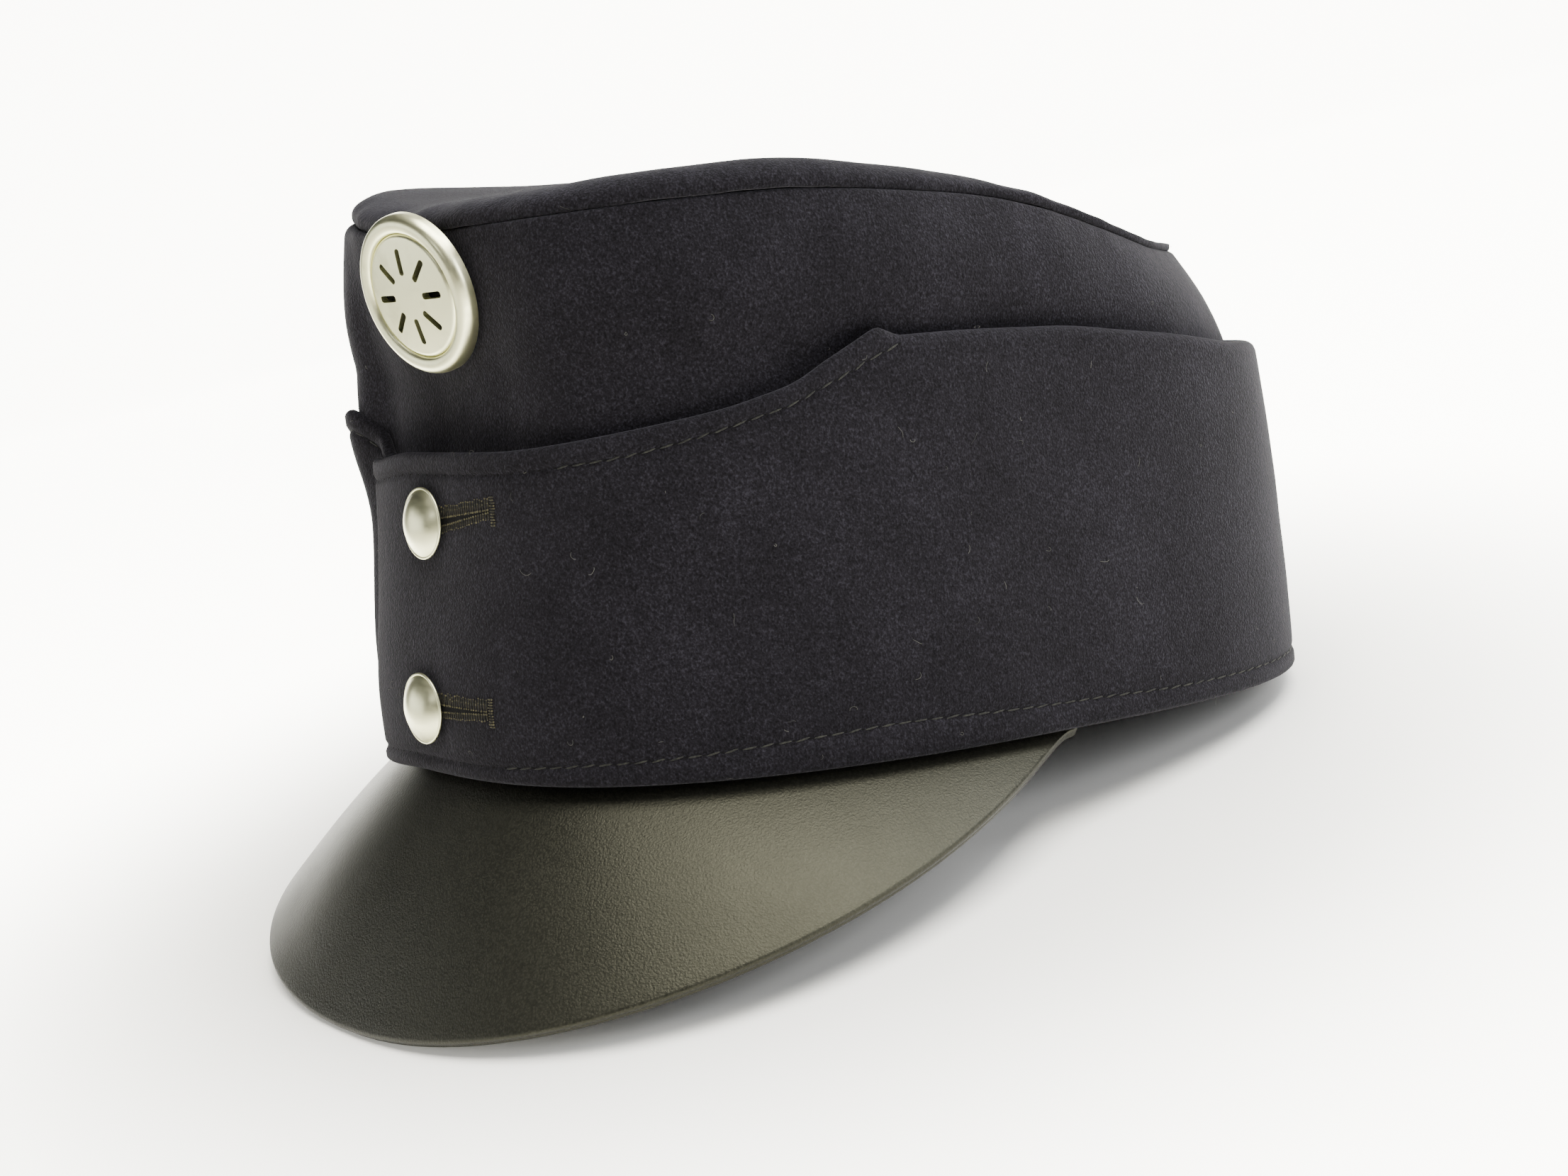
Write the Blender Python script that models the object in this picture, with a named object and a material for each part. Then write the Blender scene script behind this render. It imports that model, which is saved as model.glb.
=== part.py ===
# Military field cap: a soft wool crown with a set-in top, a turned-up ear flap that
# buttons at the front, a leather peak, two domed buttons and a round pierced badge.
# The cap is modelled with its rim in the plane z = 0, its front toward -Y and the
# wearer's left toward +X. A parent empty tips it back onto the peak and the rear hem.
# A turn is the angle round the cap from the front, toward the wearer's left.

import bmesh
import bpy
from math import atan, atan2, cos, pi, radians, sin, sqrt
from mathutils import Euler, Vector

# cloth, leather and the gap between pieces
cloth = 0.0022
crown_cloth = 0.0020
leather = 0.0028
gap = 0.0003

# ear flap: outline of its hem, heights, folds and ends
flap_length = 0.221
flap_width = 0.1808
flap_square_front = 2.64
flap_square_rear = 2.79
rear_flare = 0.18
flap_height = 0.0888
rear_lean = 0.0080
front_lean = 0.0040
fold_space = 0.0007
fold_turn = 74.5
over_end_turn = -18.0
under_end_turn = 376.0
under_end_rise = 0.0035
under_end_flare = 0.0038
under_end_swell = 0.0030
corner_turn = 330.0
corner_before = 22.0
corner_after = 11.0
under_end_dip = 12.0
lean_power = 1.6
flap_levels = (0.0, 0.1, 0.3, 0.52, 0.74, 0.9, 1.0)

# crown: its wall's deepest inset from the hem, outline at the top seam, heights
crown_inset = 0.0108
crown_height = 0.1180
waist = 0.72
seam_stand = 0.0015
seam_length = 0.1960
seam_width = 0.1560
seam_rear = 0.0905
seam_square_front = 3.00
seam_square_rear = 2.50
seam_flare = 0.11
shoulder_puff = 0.0028
corner_rise = 0.0062
corner_breadth = 0.0624
corner_share = 0.30
top_roll = 0.0060
top_rise = 0.0120
roll_start = 0.90
wall_levels = (0.0, 0.22, 0.44, 0.62, 0.72, 0.80, 0.88, 0.95)
panel_rings = (1.0, 0.988, 0.965, 0.93, 0.85, 0.70, 0.50, 0.25)

# peak: a strip of a cone from its seat under the hem out to the edge
peak_length = 0.0613
peak_turn = 90.7
peak_inset = 0.0054
peak_point_forward = 0.0748
peak_point_height = 0.0414
peak_fullness = 1.70
peak_squareness = 0.78
peak_bow = 0.0015
peak_margin = 0.0030
peak_end_share = 0.975
peak_levels = (0.12, 0.35, 0.6, 0.82, 1.0)

# buttons and buttonholes
button_width = 0.0160
button_dome = 0.0030
button_edge = 0.0012
shank_width = 0.0030
lower_button_height = 0.0150
upper_button_height = 0.0556
lower_slit_length = 0.0215
upper_slit_length = 0.0228
upper_slit_rise = 0.0020
slit_width = 0.0034

# badge
badge_width = 0.0355
badge_depth = 0.0026
badge_metal = 0.0008
badge_height = 0.1058
badge_aside = 0.0062
badge_tilt = 14.5
badge_turn = 7.0
badge_slots = 8
badge_slot_width = 0.0015
badge_slot_reach = 0.42
badge_slot_middle = 0.56
badge_post_width = 0.0030
badge_rim = 0.0040
badge_dome = 0.0012
badge_groove = 0.0006
badge_plate = 0.0004
front_turn = 13.0
post_points = 6

# how much of the hem and of the leather edge is pressed flat where the cap rests
rest_flat = 0.0005

# upper edge of the flap: turn in degrees, height as a share of flap_height
flap_edge = [
    (0, 0.800), (16, 0.801), (24, 0.808), (33, 0.822), (43, 0.842), (53, 0.868),
    (58, 0.889), (63, 0.917), (67, 0.960), (70.5, 0.997), (73.5, 1.028), (74.5, 1.000),
    (83, 1.006), (90, 0.998), (97, 0.972), (105, 0.950), (112, 0.930), (120, 0.912),
    (140, 0.905), (180, 0.900),
]
# front of the flap: share of the flap's height, share of front_lean that it leans in
front_profile = [(0.0, 0.0), (0.18, -0.2), (0.45, 0.50), (0.65, 0.90), (1.0, 1.0)]
# crown wall inside the flap: turn in degrees, inset as a share of crown_inset
crown_insets = [
    (0, 1.0), (14, 0.90), (20, 0.82), (27, 0.57), (38, 0.39), (50, 0.33), (62, 0.40), (73, 0.523),
    (180, 0.55),
]
# top of the crown, front to rear: share of the seam's length, height of the seam as a
# share of crown_height, roll of the panel's edge as a share of top_roll, rise of its
# middle as a share of top_rise
crown_sections = [
    (0.00, 1.003, 0.88, 0.12), (0.12, 1.018, 0.92, 0.14), (0.25, 1.026, 0.78, 0.20),
    (0.40, 1.012, 0.55, 0.40), (0.50, 0.996, 0.36, 0.58), (0.60, 0.962, 0.24, 0.70),
    (0.70, 0.918, 0.14, 0.80), (0.80, 0.882, 0.06, 0.85), (1.00, 0.870, 0.05, 0.70),
]


def smooth(t):
    t = min(max(t, 0.0), 1.0)
    return t * t * (3.0 - 2.0 * t)


def read_table(rows, key, column):
    # value of a column at a key, in straight steps between the rows
    if key <= rows[0][0]:
        return rows[0][column]
    for low, high in zip(rows, rows[1:]):
        if key <= high[0]:
            share = (key - low[0]) / (high[0] - low[0])
            return low[column] + (high[column] - low[column]) * share
    return rows[-1][column]


def oval(turn, half_length, half_width, square_front, square_rear, flare):
    # an egg-shaped plan: rounded box, wider toward the back
    side, ahead = sin(turn), cos(turn)
    power = 2.0 / (square_front if ahead > 0 else square_rear)
    y = -half_length * abs(ahead) ** power * (1 if ahead > 0 else -1)
    x = half_width * abs(side) ** power * (1 if side > 0 else -1)
    return x * (1.0 + flare * y / half_length), y


def from_front(turn):
    # the turn folded to 0 at the front and pi at the rear
    turn = turn % (2.0 * pi)
    return min(turn, 2.0 * pi - turn)


def front_corner(turn):
    # 1 at the wearer's right front corner, where the under end stands away, 0 elsewhere
    past = turn - radians(corner_turn)
    return smooth(1.0 - abs(past) / radians(corner_after if past > 0 else corner_before))


def flap_lean(turn, height):
    # how far the flap's face stands inside its hem at a height
    around = from_front(turn)
    rear = (1.0 - cos(around)) / 2.0
    front = smooth(1.0 - around / radians(62.0))
    share = min(max(height / flap_height, 0.0), 1.0)
    lean = rear_lean * rear * share ** lean_power + front_lean * front * read_table(front_profile, share, 1)
    return lean - under_end_flare * front_corner(turn) * smooth((share - 0.58) / 0.3)


def flap_point(turn, height, inset):
    half_length, half_width = flap_length / 2 - inset, flap_width / 2 - inset
    x, y = oval(turn, half_length, half_width, flap_square_front, flap_square_rear, rear_flare)
    shrink = 1.0 - flap_lean(turn, height) / (flap_length / 2)
    return Vector((x * shrink, y * shrink, height))


def edge_height(turn):
    # the under end rises beside the over end's edge and dives below it where they overlap
    height = flap_height * read_table(flap_edge, from_front(turn) * 180.0 / pi, 1)
    rise = smooth((turn - radians(318.0)) / radians(20.0))
    dive = smooth((turn - radians(corner_turn + corner_after)) / radians(under_end_dip))
    return height + under_end_rise * (rise - 1.4 * dive)


def under_dip(turn):
    # the wearer's right end passes under the left one at the front
    start = 360.0 + over_end_turn - under_end_dip
    return (1.5 * gap + cloth) * smooth((turn - radians(start)) / radians(under_end_dip - 1.0))


def seam_height(x, y):
    # the seam's height over a place in plan, raised at the wearer's right front corner
    share = (y - seam_rear + seam_length) / seam_length
    corner = smooth(-x / corner_breadth) * smooth(1.0 - share / corner_share)
    return crown_height * read_table(crown_sections, share, 1) + corner_rise * corner


def seam_plan(turn, scale=1.0):
    half = seam_length / 2
    x, y = oval(turn, half, seam_width / 2, seam_square_front, seam_square_rear, seam_flare)
    return x * scale, y * scale + seam_rear - half


def crown_base(turn, height, inset=0.0):
    inset += crown_inset * read_table(crown_insets, from_front(turn) * 180.0 / pi, 1)
    half_length, half_width = flap_length / 2 - inset, flap_width / 2 - inset
    x, y = oval(turn, half_length, half_width, flap_square_front, flap_square_rear, rear_flare)
    rear = (1.0 - cos(turn)) / 2.0
    shrink = 1.0 - rear_lean * rear * min(height / flap_height, 1.0) ** lean_power / (flap_length / 2)
    return Vector((x * shrink, y * shrink, height))


def crown_point(turn, level):
    x, y = seam_plan(turn)
    height = seam_height(x, y) * level
    base = crown_base(turn, height)
    upright = 1.0 - seam_stand / crown_height
    rise = max(min(level, upright) - waist, 0.0) / (upright - waist)
    puff = shoulder_puff * sin(pi * rise) * (1.0 - smooth(1.0 - from_front(turn) / radians(40.0)))
    swell = smooth((level - 0.60) / 0.12) * smooth((1.0 - level) / 0.30)
    aside = abs(turn % (2.0 * pi) - radians(corner_turn)) / radians(corner_before)
    puff += under_end_swell * smooth(1.0 - aside) * swell
    out = Vector((base.x, base.y, 0.0)).normalized() * puff
    return base.lerp(Vector((x, y, height)), rise) + out


def peak_seat(turn):
    half_length, half_width = flap_length / 2 - peak_inset, flap_width / 2 - peak_inset
    x, y = oval(turn, half_length, half_width, flap_square_front, flap_square_rear, rear_flare)
    return Vector((x, y, -gap))


def peak_point(share, out):
    # share runs from -1 to 1 across the peak, out from 0 at the seat to 1 at the edge
    seat = peak_seat(share * radians(peak_turn))
    ray = (seat - Vector((0.0, -peak_point_forward, peak_point_height))).normalized()
    reach = peak_length * (1.0 - abs(share) ** peak_fullness) ** peak_squareness
    return seat + ray * reach * out + Vector((0, 0, peak_bow * sin(pi * out) * reach / peak_length))


def material(name, colour, roughness, metallic):
    made = bpy.data.materials.new(name)
    made.use_nodes = True
    shader = made.node_tree.nodes["Principled BSDF"]
    shader.inputs["Base Color"].default_value = (*colour, 1.0)
    shader.inputs["Roughness"].default_value = roughness
    shader.inputs["Metallic"].default_value = metallic
    return made


def add_piece(name, mesh_data, surface, smooth_angle=40.0):
    mesh = bpy.data.meshes.new(name)
    bmesh.ops.remove_doubles(mesh_data, verts=mesh_data.verts, dist=1e-6)
    mesh_data.to_mesh(mesh)
    mesh_data.free()
    mesh.shade_smooth()
    mesh.set_sharp_from_angle(angle=radians(smooth_angle))
    piece = bpy.data.objects.new(name, mesh)
    bpy.context.scene.collection.objects.link(piece)
    piece.parent = cap_pose
    if surface:
        mesh.materials.append(surface)
    else:
        piece.hide_render = True
        piece.display_type = "WIRE"
    return piece


def sheet(name, columns, surface, thickness, offset, closed=False, tip=None):
    # a sheet from columns of points, thickened; a column may be shorter than its neighbour
    made = bmesh.new()
    grid = [[made.verts.new(point) for point in column] for column in columns]
    if closed:
        grid.append(grid[0])
    for left, right in zip(grid, grid[1:]):
        for row in range(min(len(left), len(right)) - 1):
            made.faces.new((left[row], right[row], right[row + 1], left[row + 1]))
    if tip:
        middle = made.verts.new(tip)
        for left, right in zip(grid, grid[1:]):
            made.faces.new((left[-1], right[-1], middle))
    piece = add_piece(name, made, surface)
    wall = piece.modifiers.new("wall", "SOLIDIFY")
    wall.thickness = thickness
    wall.offset = offset
    wall.use_even_offset = True
    return piece


def turned(name, profile, segments, surface):
    # a solid turned about its own Z axis from points (radius, height), axis to axis
    made = bmesh.new()
    verts = [made.verts.new((radius, 0.0, height)) for radius, height in profile]
    edges = [made.edges.new(pair) for pair in zip(verts, verts[1:])]
    bmesh.ops.spin(made, geom=verts + edges, cent=(0, 0, 0), axis=(0, 0, 1),
                   angle=2 * pi, steps=segments, use_merge=True)
    bmesh.ops.remove_doubles(made, verts=made.verts, dist=1e-6)
    bmesh.ops.recalc_face_normals(made, faces=made.faces)
    return add_piece(name, made, surface)


def box(name, low, high):
    made = bmesh.new()
    bmesh.ops.create_cube(made, size=1.0)
    size = Vector(high) - Vector(low)
    bmesh.ops.scale(made, vec=size, verts=made.verts)
    bmesh.ops.translate(made, vec=Vector(low) + size / 2, verts=made.verts)
    return add_piece(name, made, None)


def cut(piece, cutter):
    step = piece.modifiers.new("cut_" + cutter.name, "BOOLEAN")
    step.operation = "DIFFERENCE"
    step.object = cutter
    return step


def spaced(start, stop, count):
    return [start + (stop - start) * i / (count - 1) for i in range(count)]


def arc_profile(radius, rise, steps, base):
    # points of a shallow dome from its middle down to its edge
    ball = (radius * radius + rise * rise) / (2.0 * rise)
    points = []
    for i in range(steps + 1):
        r = radius * i / steps
        points.append((r, base + sqrt(ball * ball - r * r) - ball + rise))
    return points


def panel_point(turn, ring):
    # the top panel at a share of the way from its middle, 0, to its edge, 1
    x, y = seam_plan(turn, ring)
    share = (y - seam_rear + seam_length) / seam_length
    away = min(max((ring - roll_start) / (1.0 - roll_start), 0.0), 1.0)
    roll = top_roll * read_table(crown_sections, share, 2) * sqrt(1.0 - away * away)
    rise = top_rise * read_table(crown_sections, share, 3) * (1.0 - ring ** 2)
    edge = seam_height(*seam_plan(turn))
    height = edge + (seam_height(x, y) - edge) * (1.0 - ring ** 2)
    return Vector((x, y, height + roll + rise + gap + seam_stand))


def build_crown():
    turns = spaced(0.0, 2 * pi, 61)[:-1]
    levels = wall_levels + (1.0 - seam_stand / crown_height, 1.0)
    wall = [[crown_point(turn, level) for level in levels] for turn in turns]
    sheet("crown_side", wall, wool, crown_cloth, -1.0, closed=True)

    # the top panel starts upright above the seam, rolls over and rises to the middle
    panel = []
    for turn in turns:
        x, y = seam_plan(turn)
        panel.append([Vector((x, y, seam_height(x, y) + gap))]
                     + [panel_point(turn, ring) for ring in panel_rings])
    sheet("crown_top", panel, wool, crown_cloth, -1.0, closed=True, tip=panel_point(0.0, 0.0))


def flap_columns():
    # turns of the columns: close together at the ends, the curve and the fold's start
    turns = spaced(over_end_turn, 20.0, 10) + spaced(24.0, 54.0, 7) + spaced(57.0, 72.0, 6)
    turns += [73.5, fold_turn] + spaced(80.0, 280.0, 38) + [360 - fold_turn, 286.5]
    turns += spaced(288.0, 303.0, 6) + spaced(307.0, 331.0, 6) + spaced(334.0, under_end_turn, 11)
    half, fold = cloth / 2, (cloth + fold_space) / 2
    columns = []
    for degrees in turns:
        turn = radians(degrees)
        folded = fold_turn <= degrees <= 360 - fold_turn
        edge = edge_height(turn)
        top = edge - half - fold if folded else edge
        dip = under_dip(turn)
        outer = [flap_point(turn, top * share, half + dip) for share in flap_levels]
        if folded:
            for step in (1, 2, 3):
                bend = pi * step / 3
                outer.append(flap_point(turn, top + fold * sin(bend), half + fold * (1 - cos(bend))))
            inner = half + 2 * fold
            outer += [flap_point(turn, top * share, inner) for share in (0.66, 0.33, 0.03)]
        columns.append(outer)
    return columns


def front_normal(height):
    # the flap's outward direction at the front middle
    reach = 2.0 * shank_width
    low, high = flap_point(0.0, height - reach, 0.0), flap_point(0.0, height + reach, 0.0)
    along = (high - low).normalized()
    return Vector((0.0, -along.z, along.y))


def build_flap():
    flap = sheet("ear_flap", flap_columns(), wool, cloth, 0.0)
    slits = [("lower", lower_button_height, lower_slit_length, 0.0),
             ("upper", upper_button_height, upper_slit_length, upper_slit_rise)]
    for name, height, length, rise in slits:
        depth = cloth + 0.8 * gap
        half = slit_width / 2
        slit = box("slit_" + name, (-half, -button_width, -half), (length, depth, half))
        slit.location = (0.0, flap_point(0.0, height, 0.0).y, height)
        slit.rotation_euler = (0.0, -atan(rise / length), 0.0)
        cut(flap, slit)
    return flap


def build_peak():
    columns = []
    for share in spaced(-peak_end_share, peak_end_share, 47):
        turn = share * radians(peak_turn)
        inside = crown_base(turn, 0.0, peak_margin)
        column = [Vector((inside.x, inside.y, -gap)), peak_seat(turn)]
        column += [peak_point(share, out) for out in peak_levels]
        columns.append(column[::-1])
    return sheet("peak", columns, hide, leather, -1.0)


def build_button(name, height):
    half = button_width / 2
    stem = shank_width / 2
    reach = cloth + gap
    profile = arc_profile(half, button_dome, 5, button_edge)
    profile += [(half, 0.3 * button_edge), (half - 0.3 * button_edge, 0.0), (stem, 0.0),
                (stem, -reach), (0.0, -reach)]
    piece = turned(name, profile, 24, metal)
    normal = front_normal(height)
    piece.location = flap_point(0.0, height, 0.0) + normal * gap
    piece.rotation_euler = normal.to_track_quat("Z", "Y").to_euler()


def crown_front():
    # points of the crown's front behind the badge, evenly spaced across it
    front = seam_height(0.0, seam_rear - seam_length)
    points = []
    for side in spaced(-1.0, 1.0, 25):
        turn = radians(front_turn) * abs(side) ** (seam_square_front / 2.0) * (1 if side > 0 else -1)
        for height in spaced(badge_height - badge_width / 2, front, 12):
            points.append(crown_point(turn, height / front))
    return points


def badge_seat(lean):
    # where the disc's back just clears the crown's front
    normal = lean.to_matrix() @ Vector((0.0, 0.0, 1.0))
    centre = Vector((badge_aside, 0.0, badge_height))
    reach = []
    for wall in crown_front():
        if (wall - centre - Vector((0.0, wall.y, 0.0))).length < badge_width / 2:
            reach.append((normal.dot(wall - centre) + gap) / normal.y)
    return Vector((badge_aside, min(reach), badge_height))


def post_foot(place, lean):
    # how far behind the disc's back the post stops, just clear of the crown
    turned_back = lean.to_matrix().transposed()
    behind = [turned_back @ (wall - place) for wall in crown_front()]
    nearest = sorted(behind, key=lambda point: point.to_2d().length)[:post_points]
    return max(point.z for point in nearest) + gap


def build_badge():
    lean = Euler((radians(90.0 + badge_tilt), 0.0, radians(badge_turn)))
    place = badge_seat(lean)
    out = badge_width / 2
    ring = out - badge_rim
    lip, groove = badge_depth, badge_groove
    face = arc_profile(ring - 0.5 * groove, badge_dome, 4, lip + groove)
    face += [(ring, lip), (ring + groove, lip), (ring + 0.4 * badge_rim, lip + 1.5 * groove),
             (out - 0.3 * badge_rim, lip + groove), (out - 0.5 * groove, 0.5 * lip), (out, 0.0),
             (out - badge_metal, 0.0), (ring, lip - badge_metal), (0.0, lip - badge_metal + groove)]
    disc = turned("badge_face", face, 48, metal)
    spokes = bmesh.new()
    for slot in range(badge_slots):
        made = bmesh.ops.create_cube(spokes, size=1.0)["verts"]
        bmesh.ops.scale(spokes, vec=(badge_slot_reach * ring, badge_slot_width, badge_width), verts=made)
        bmesh.ops.translate(spokes, vec=(badge_slot_middle * ring, 0.0, 0.0), verts=made)
        spin = Euler((0.0, 0.0, 2 * pi * slot / badge_slots)).to_matrix()
        bmesh.ops.rotate(spokes, cent=(0, 0, 0), matrix=spin, verts=made)
    cutter = add_piece("badge_slots", spokes, None)
    cut(disc, cutter)

    plate = lip - badge_metal - gap
    stem = badge_post_width / 2
    foot = post_foot(place, lean)
    wide, low = 0.86 * ring, plate - badge_plate
    back = [(0.0, plate), (wide, plate), (wide, low), (stem, low), (stem, foot), (0.0, foot)]
    backing = turned("badge_backing", back, 24, dark)
    for piece in (disc, backing, cutter):
        piece.location = place
        piece.rotation_euler = lean


def set_down(pieces):
    # tip the cap back until the peak's tip and the rear hem share the floor, then cut both
    # flat there, and centre the cap over the origin
    tip = peak_point(0.0, 1.0)
    ray = (tip - peak_point(0.0, peak_levels[-2])).normalized()
    tip = tip + Vector((0.0, -ray.z, ray.y)).normalized() * leather
    rear = flap_point(pi, 0.0, 0.0)
    tilt = atan2(rear.z - tip.z, rear.y - tip.y)
    cap_pose.rotation_euler = (-tilt, 0.0, 0.0)
    floor = box("floor", (-flap_width, -2.0 * flap_length, -flap_height), (flap_width, flap_length, 0.0))
    floor.rotation_euler = (tilt, 0.0, 0.0)
    floor.location = rear + Vector((0.0, -sin(tilt), cos(tilt))) * rest_flat
    for piece in pieces:
        cut(piece, floor)
    bpy.context.view_layer.update()
    depsgraph = bpy.context.evaluated_depsgraph_get()
    corners = []
    for piece in bpy.context.scene.objects:
        if piece.type == "MESH" and not piece.hide_render:
            shown = piece.evaluated_get(depsgraph)
            corners += [shown.matrix_world @ vertex.co for vertex in shown.data.vertices]
    ends = [sum(side(point.y for point in corners) for side in (min, max)) / 2,
            min(point.z for point in corners)]
    cap_pose.location = (0.0, -ends[0], -ends[1])


for old in list(bpy.data.objects):
    bpy.data.objects.remove(old, do_unlink=True)

wool = material("navy_wool", (0.012, 0.010, 0.022), 0.95, 0.0)
hide = material("black_leather", (0.012, 0.012, 0.012), 0.38, 0.0)
metal = material("aluminium", (0.70, 0.70, 0.67), 0.32, 1.0)
dark = material("dark_backing", (0.02, 0.02, 0.02), 0.7, 0.0)

cap_pose = bpy.data.objects.new("cap_pose", None)
bpy.context.scene.collection.objects.link(cap_pose)

build_crown()
flap = build_flap()
peak = build_peak()
build_button("button_lower", lower_button_height)
build_button("button_upper", upper_button_height)
build_badge()
set_down([flap, peak])
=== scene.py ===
# Military field cap in dark wool with a leather peak, aluminium buttons and a badge.
# The form is worked out with the rim level and the front toward -Y, then tipped back
# by capPose onto the peak's tip and the rear hem. A turn is the angle round the cap
# from the front toward the wearer's left. Sizes are in metres.
import bpy
import bmesh
import random
from bisect import bisect_right
from math import cos, degrees, exp, pi, radians, sin, sqrt
from mathutils import Euler, Matrix, Vector, noise


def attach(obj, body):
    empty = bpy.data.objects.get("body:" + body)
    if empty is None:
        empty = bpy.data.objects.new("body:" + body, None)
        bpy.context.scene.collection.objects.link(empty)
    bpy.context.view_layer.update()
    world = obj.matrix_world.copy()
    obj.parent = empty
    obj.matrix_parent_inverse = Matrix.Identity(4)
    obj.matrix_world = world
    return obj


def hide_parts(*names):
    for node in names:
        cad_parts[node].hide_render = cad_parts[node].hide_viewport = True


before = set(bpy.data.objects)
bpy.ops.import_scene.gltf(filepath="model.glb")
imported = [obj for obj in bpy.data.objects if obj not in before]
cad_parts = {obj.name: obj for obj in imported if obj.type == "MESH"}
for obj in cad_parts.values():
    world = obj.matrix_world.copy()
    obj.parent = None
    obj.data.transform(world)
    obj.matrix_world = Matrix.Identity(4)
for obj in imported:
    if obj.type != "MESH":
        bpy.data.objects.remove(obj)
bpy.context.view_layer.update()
print("frame loaded", sorted(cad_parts))

pose = {"tilt": 11.66, "back": 0.01535, "up": 0.02183}
capPose = Matrix.Translation((0, pose["back"], pose["up"])) @ Matrix.Rotation(-radians(pose["tilt"]), 4, "X")


def smooth(t):
    # 0 up to 0, an even climb, and 1 from 1 on
    t = min(max(t, 0.0), 1.0)
    return t * t * (3.0 - 2.0 * t)


def readTable(rows, key, column=1):
    # a smooth line through the rows, without overshoot at the ends
    if key <= rows[0][0]:
        return rows[0][column]
    for i in range(len(rows) - 1):
        low, high = rows[i], rows[i + 1]
        if key <= high[0]:
            before, after = rows[max(i - 1, 0)], rows[min(i + 2, len(rows) - 1)]
            width = high[0] - low[0]
            t = (key - low[0]) / width
            slopeLow = (high[column] - before[column]) / (high[0] - before[0]) * width
            slopeHigh = (after[column] - low[column]) / (after[0] - low[0]) * width
            rise = high[column] - low[column]
            if slopeLow * rise <= 0:
                slopeLow = 0.0
            if slopeHigh * rise <= 0:
                slopeHigh = 0.0
            t2, t3 = t * t, t * t * t
            return ((2 * t3 - 3 * t2 + 1) * low[column] + (t3 - 2 * t2 + t) * slopeLow
                    + (3 * t2 - 2 * t3) * high[column] + (t3 - t2) * slopeHigh)
    return rows[-1][column]


def oval(turn, halfLength, halfWidth, squareFront, squareRear, flare):
    # a squarish oval seen from above, which may widen or narrow toward the rear
    side, ahead = sin(turn), cos(turn)
    power = 2.0 / (squareFront if ahead > 0 else squareRear)
    y = -halfLength * abs(ahead) ** power * (1 if ahead > 0 else -1)
    x = halfWidth * abs(side) ** power * (1 if side > 0 else -1)
    return x * (1.0 + flare * y / halfLength), y


def fromFront(turn):
    # the angle from the front on either side, in degrees
    turn = turn % (2.0 * pi)
    return degrees(min(turn, 2.0 * pi - turn))


def grain(point, scale, seed=0.0):
    # soft unevenness between about -1 and 1
    return noise.noise(Vector(point) / scale + Vector((seed, seed * 0.7, -seed)))


def outward(point):
    # level and away from the cap's middle
    return Vector((point.x, point.y, 0.0)).normalized()


def roundOff(radius, away):
    # how far a rounded edge lies back, at a distance in from it
    return radius - sqrt(max(radius * radius - max(radius - away, 0.0) ** 2, 0.0))


def spaced(start, stop, count):
    return [start + (stop - start) * i / (count - 1) for i in range(count)]


def newPiece(name, mesh, surface, smoothAngle=60.0):
    # finishes a bmesh as a named piece standing in its place in the mesh
    made = bpy.data.meshes.new(name)
    mesh.to_mesh(made)
    mesh.free()
    made.transform(capPose)
    made.shade_smooth()
    made.set_sharp_from_angle(angle=radians(smoothAngle))
    made.materials.append(surface)
    piece = bpy.data.objects.new(name, made)
    bpy.context.scene.collection.objects.link(piece)
    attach(piece, "root")
    return piece


def addNode(tree, kind, values=None, **settings):
    node = tree.nodes.new(kind)
    for key, value in settings.items():
        setattr(node, key, value)
    for key, value in (values or {}).items():
        node.inputs[key].default_value = value
    return node


def newMaterial(name, values):
    # a material with its shader's inputs set by name
    made = bpy.data.materials.new(name)
    made.use_nodes = True
    shader = made.node_tree.nodes["Principled BSDF"]
    for key, value in values.items():
        shader.inputs[key].default_value = value
    return made, made.node_tree, shader


def noiseMask(tree, vector, scale, detail, low, high):
    # noise stretched so that low gives 0 and high gives 1
    pattern = addNode(tree, "ShaderNodeTexNoise", {"Scale": scale, "Detail": detail, "Roughness": 0.6})
    tree.links.new(vector, pattern.inputs["Vector"])
    return addRange(tree, pattern.outputs["Fac"], low, high)


def addMath(tree, operation, first, second):
    # a sum or product of sockets and numbers
    node = addNode(tree, "ShaderNodeMath", operation=operation)
    for slot, value in enumerate((first, second)):
        if isinstance(value, (int, float)):
            node.inputs[slot].default_value = value
        else:
            tree.links.new(value, node.inputs[slot])
    return node.outputs["Value"]


def addRamp(tree, mask, stops):
    # colours between stops of (place, colour)
    ramp = addNode(tree, "ShaderNodeValToRGB")
    while len(ramp.color_ramp.elements) < len(stops):
        ramp.color_ramp.elements.new(0.5)
    for element, (place, colour) in zip(ramp.color_ramp.elements, stops):
        element.position = place
        element.color = (*colour, 1.0)
    tree.links.new(mask, ramp.inputs["Fac"])
    return ramp.outputs["Color"]


def addMapping(tree, vector, rotation, scale):
    lay = addNode(tree, "ShaderNodeMapping", {"Rotation": rotation, "Scale": scale})
    tree.links.new(vector, lay.inputs["Vector"])
    return lay.outputs["Vector"]


def addRange(tree, value, start, stop, low=0.0, high=1.0, kind="LINEAR"):
    # low at start, high at stop, and held beyond them
    ends = {"From Min": start, "From Max": stop, "To Min": low, "To Max": high}
    spread = addNode(tree, "ShaderNodeMapRange", ends, interpolation_type=kind)
    tree.links.new(value, spread.inputs["Value"])
    return spread.outputs["Result"]


def blend(tree, layers):
    # a sum of masks, each with its weight
    total = None
    for mask, weight in layers:
        share = addMath(tree, "MULTIPLY", mask, weight)
        total = share if total is None else addMath(tree, "ADD", total, share)
    return total


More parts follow.
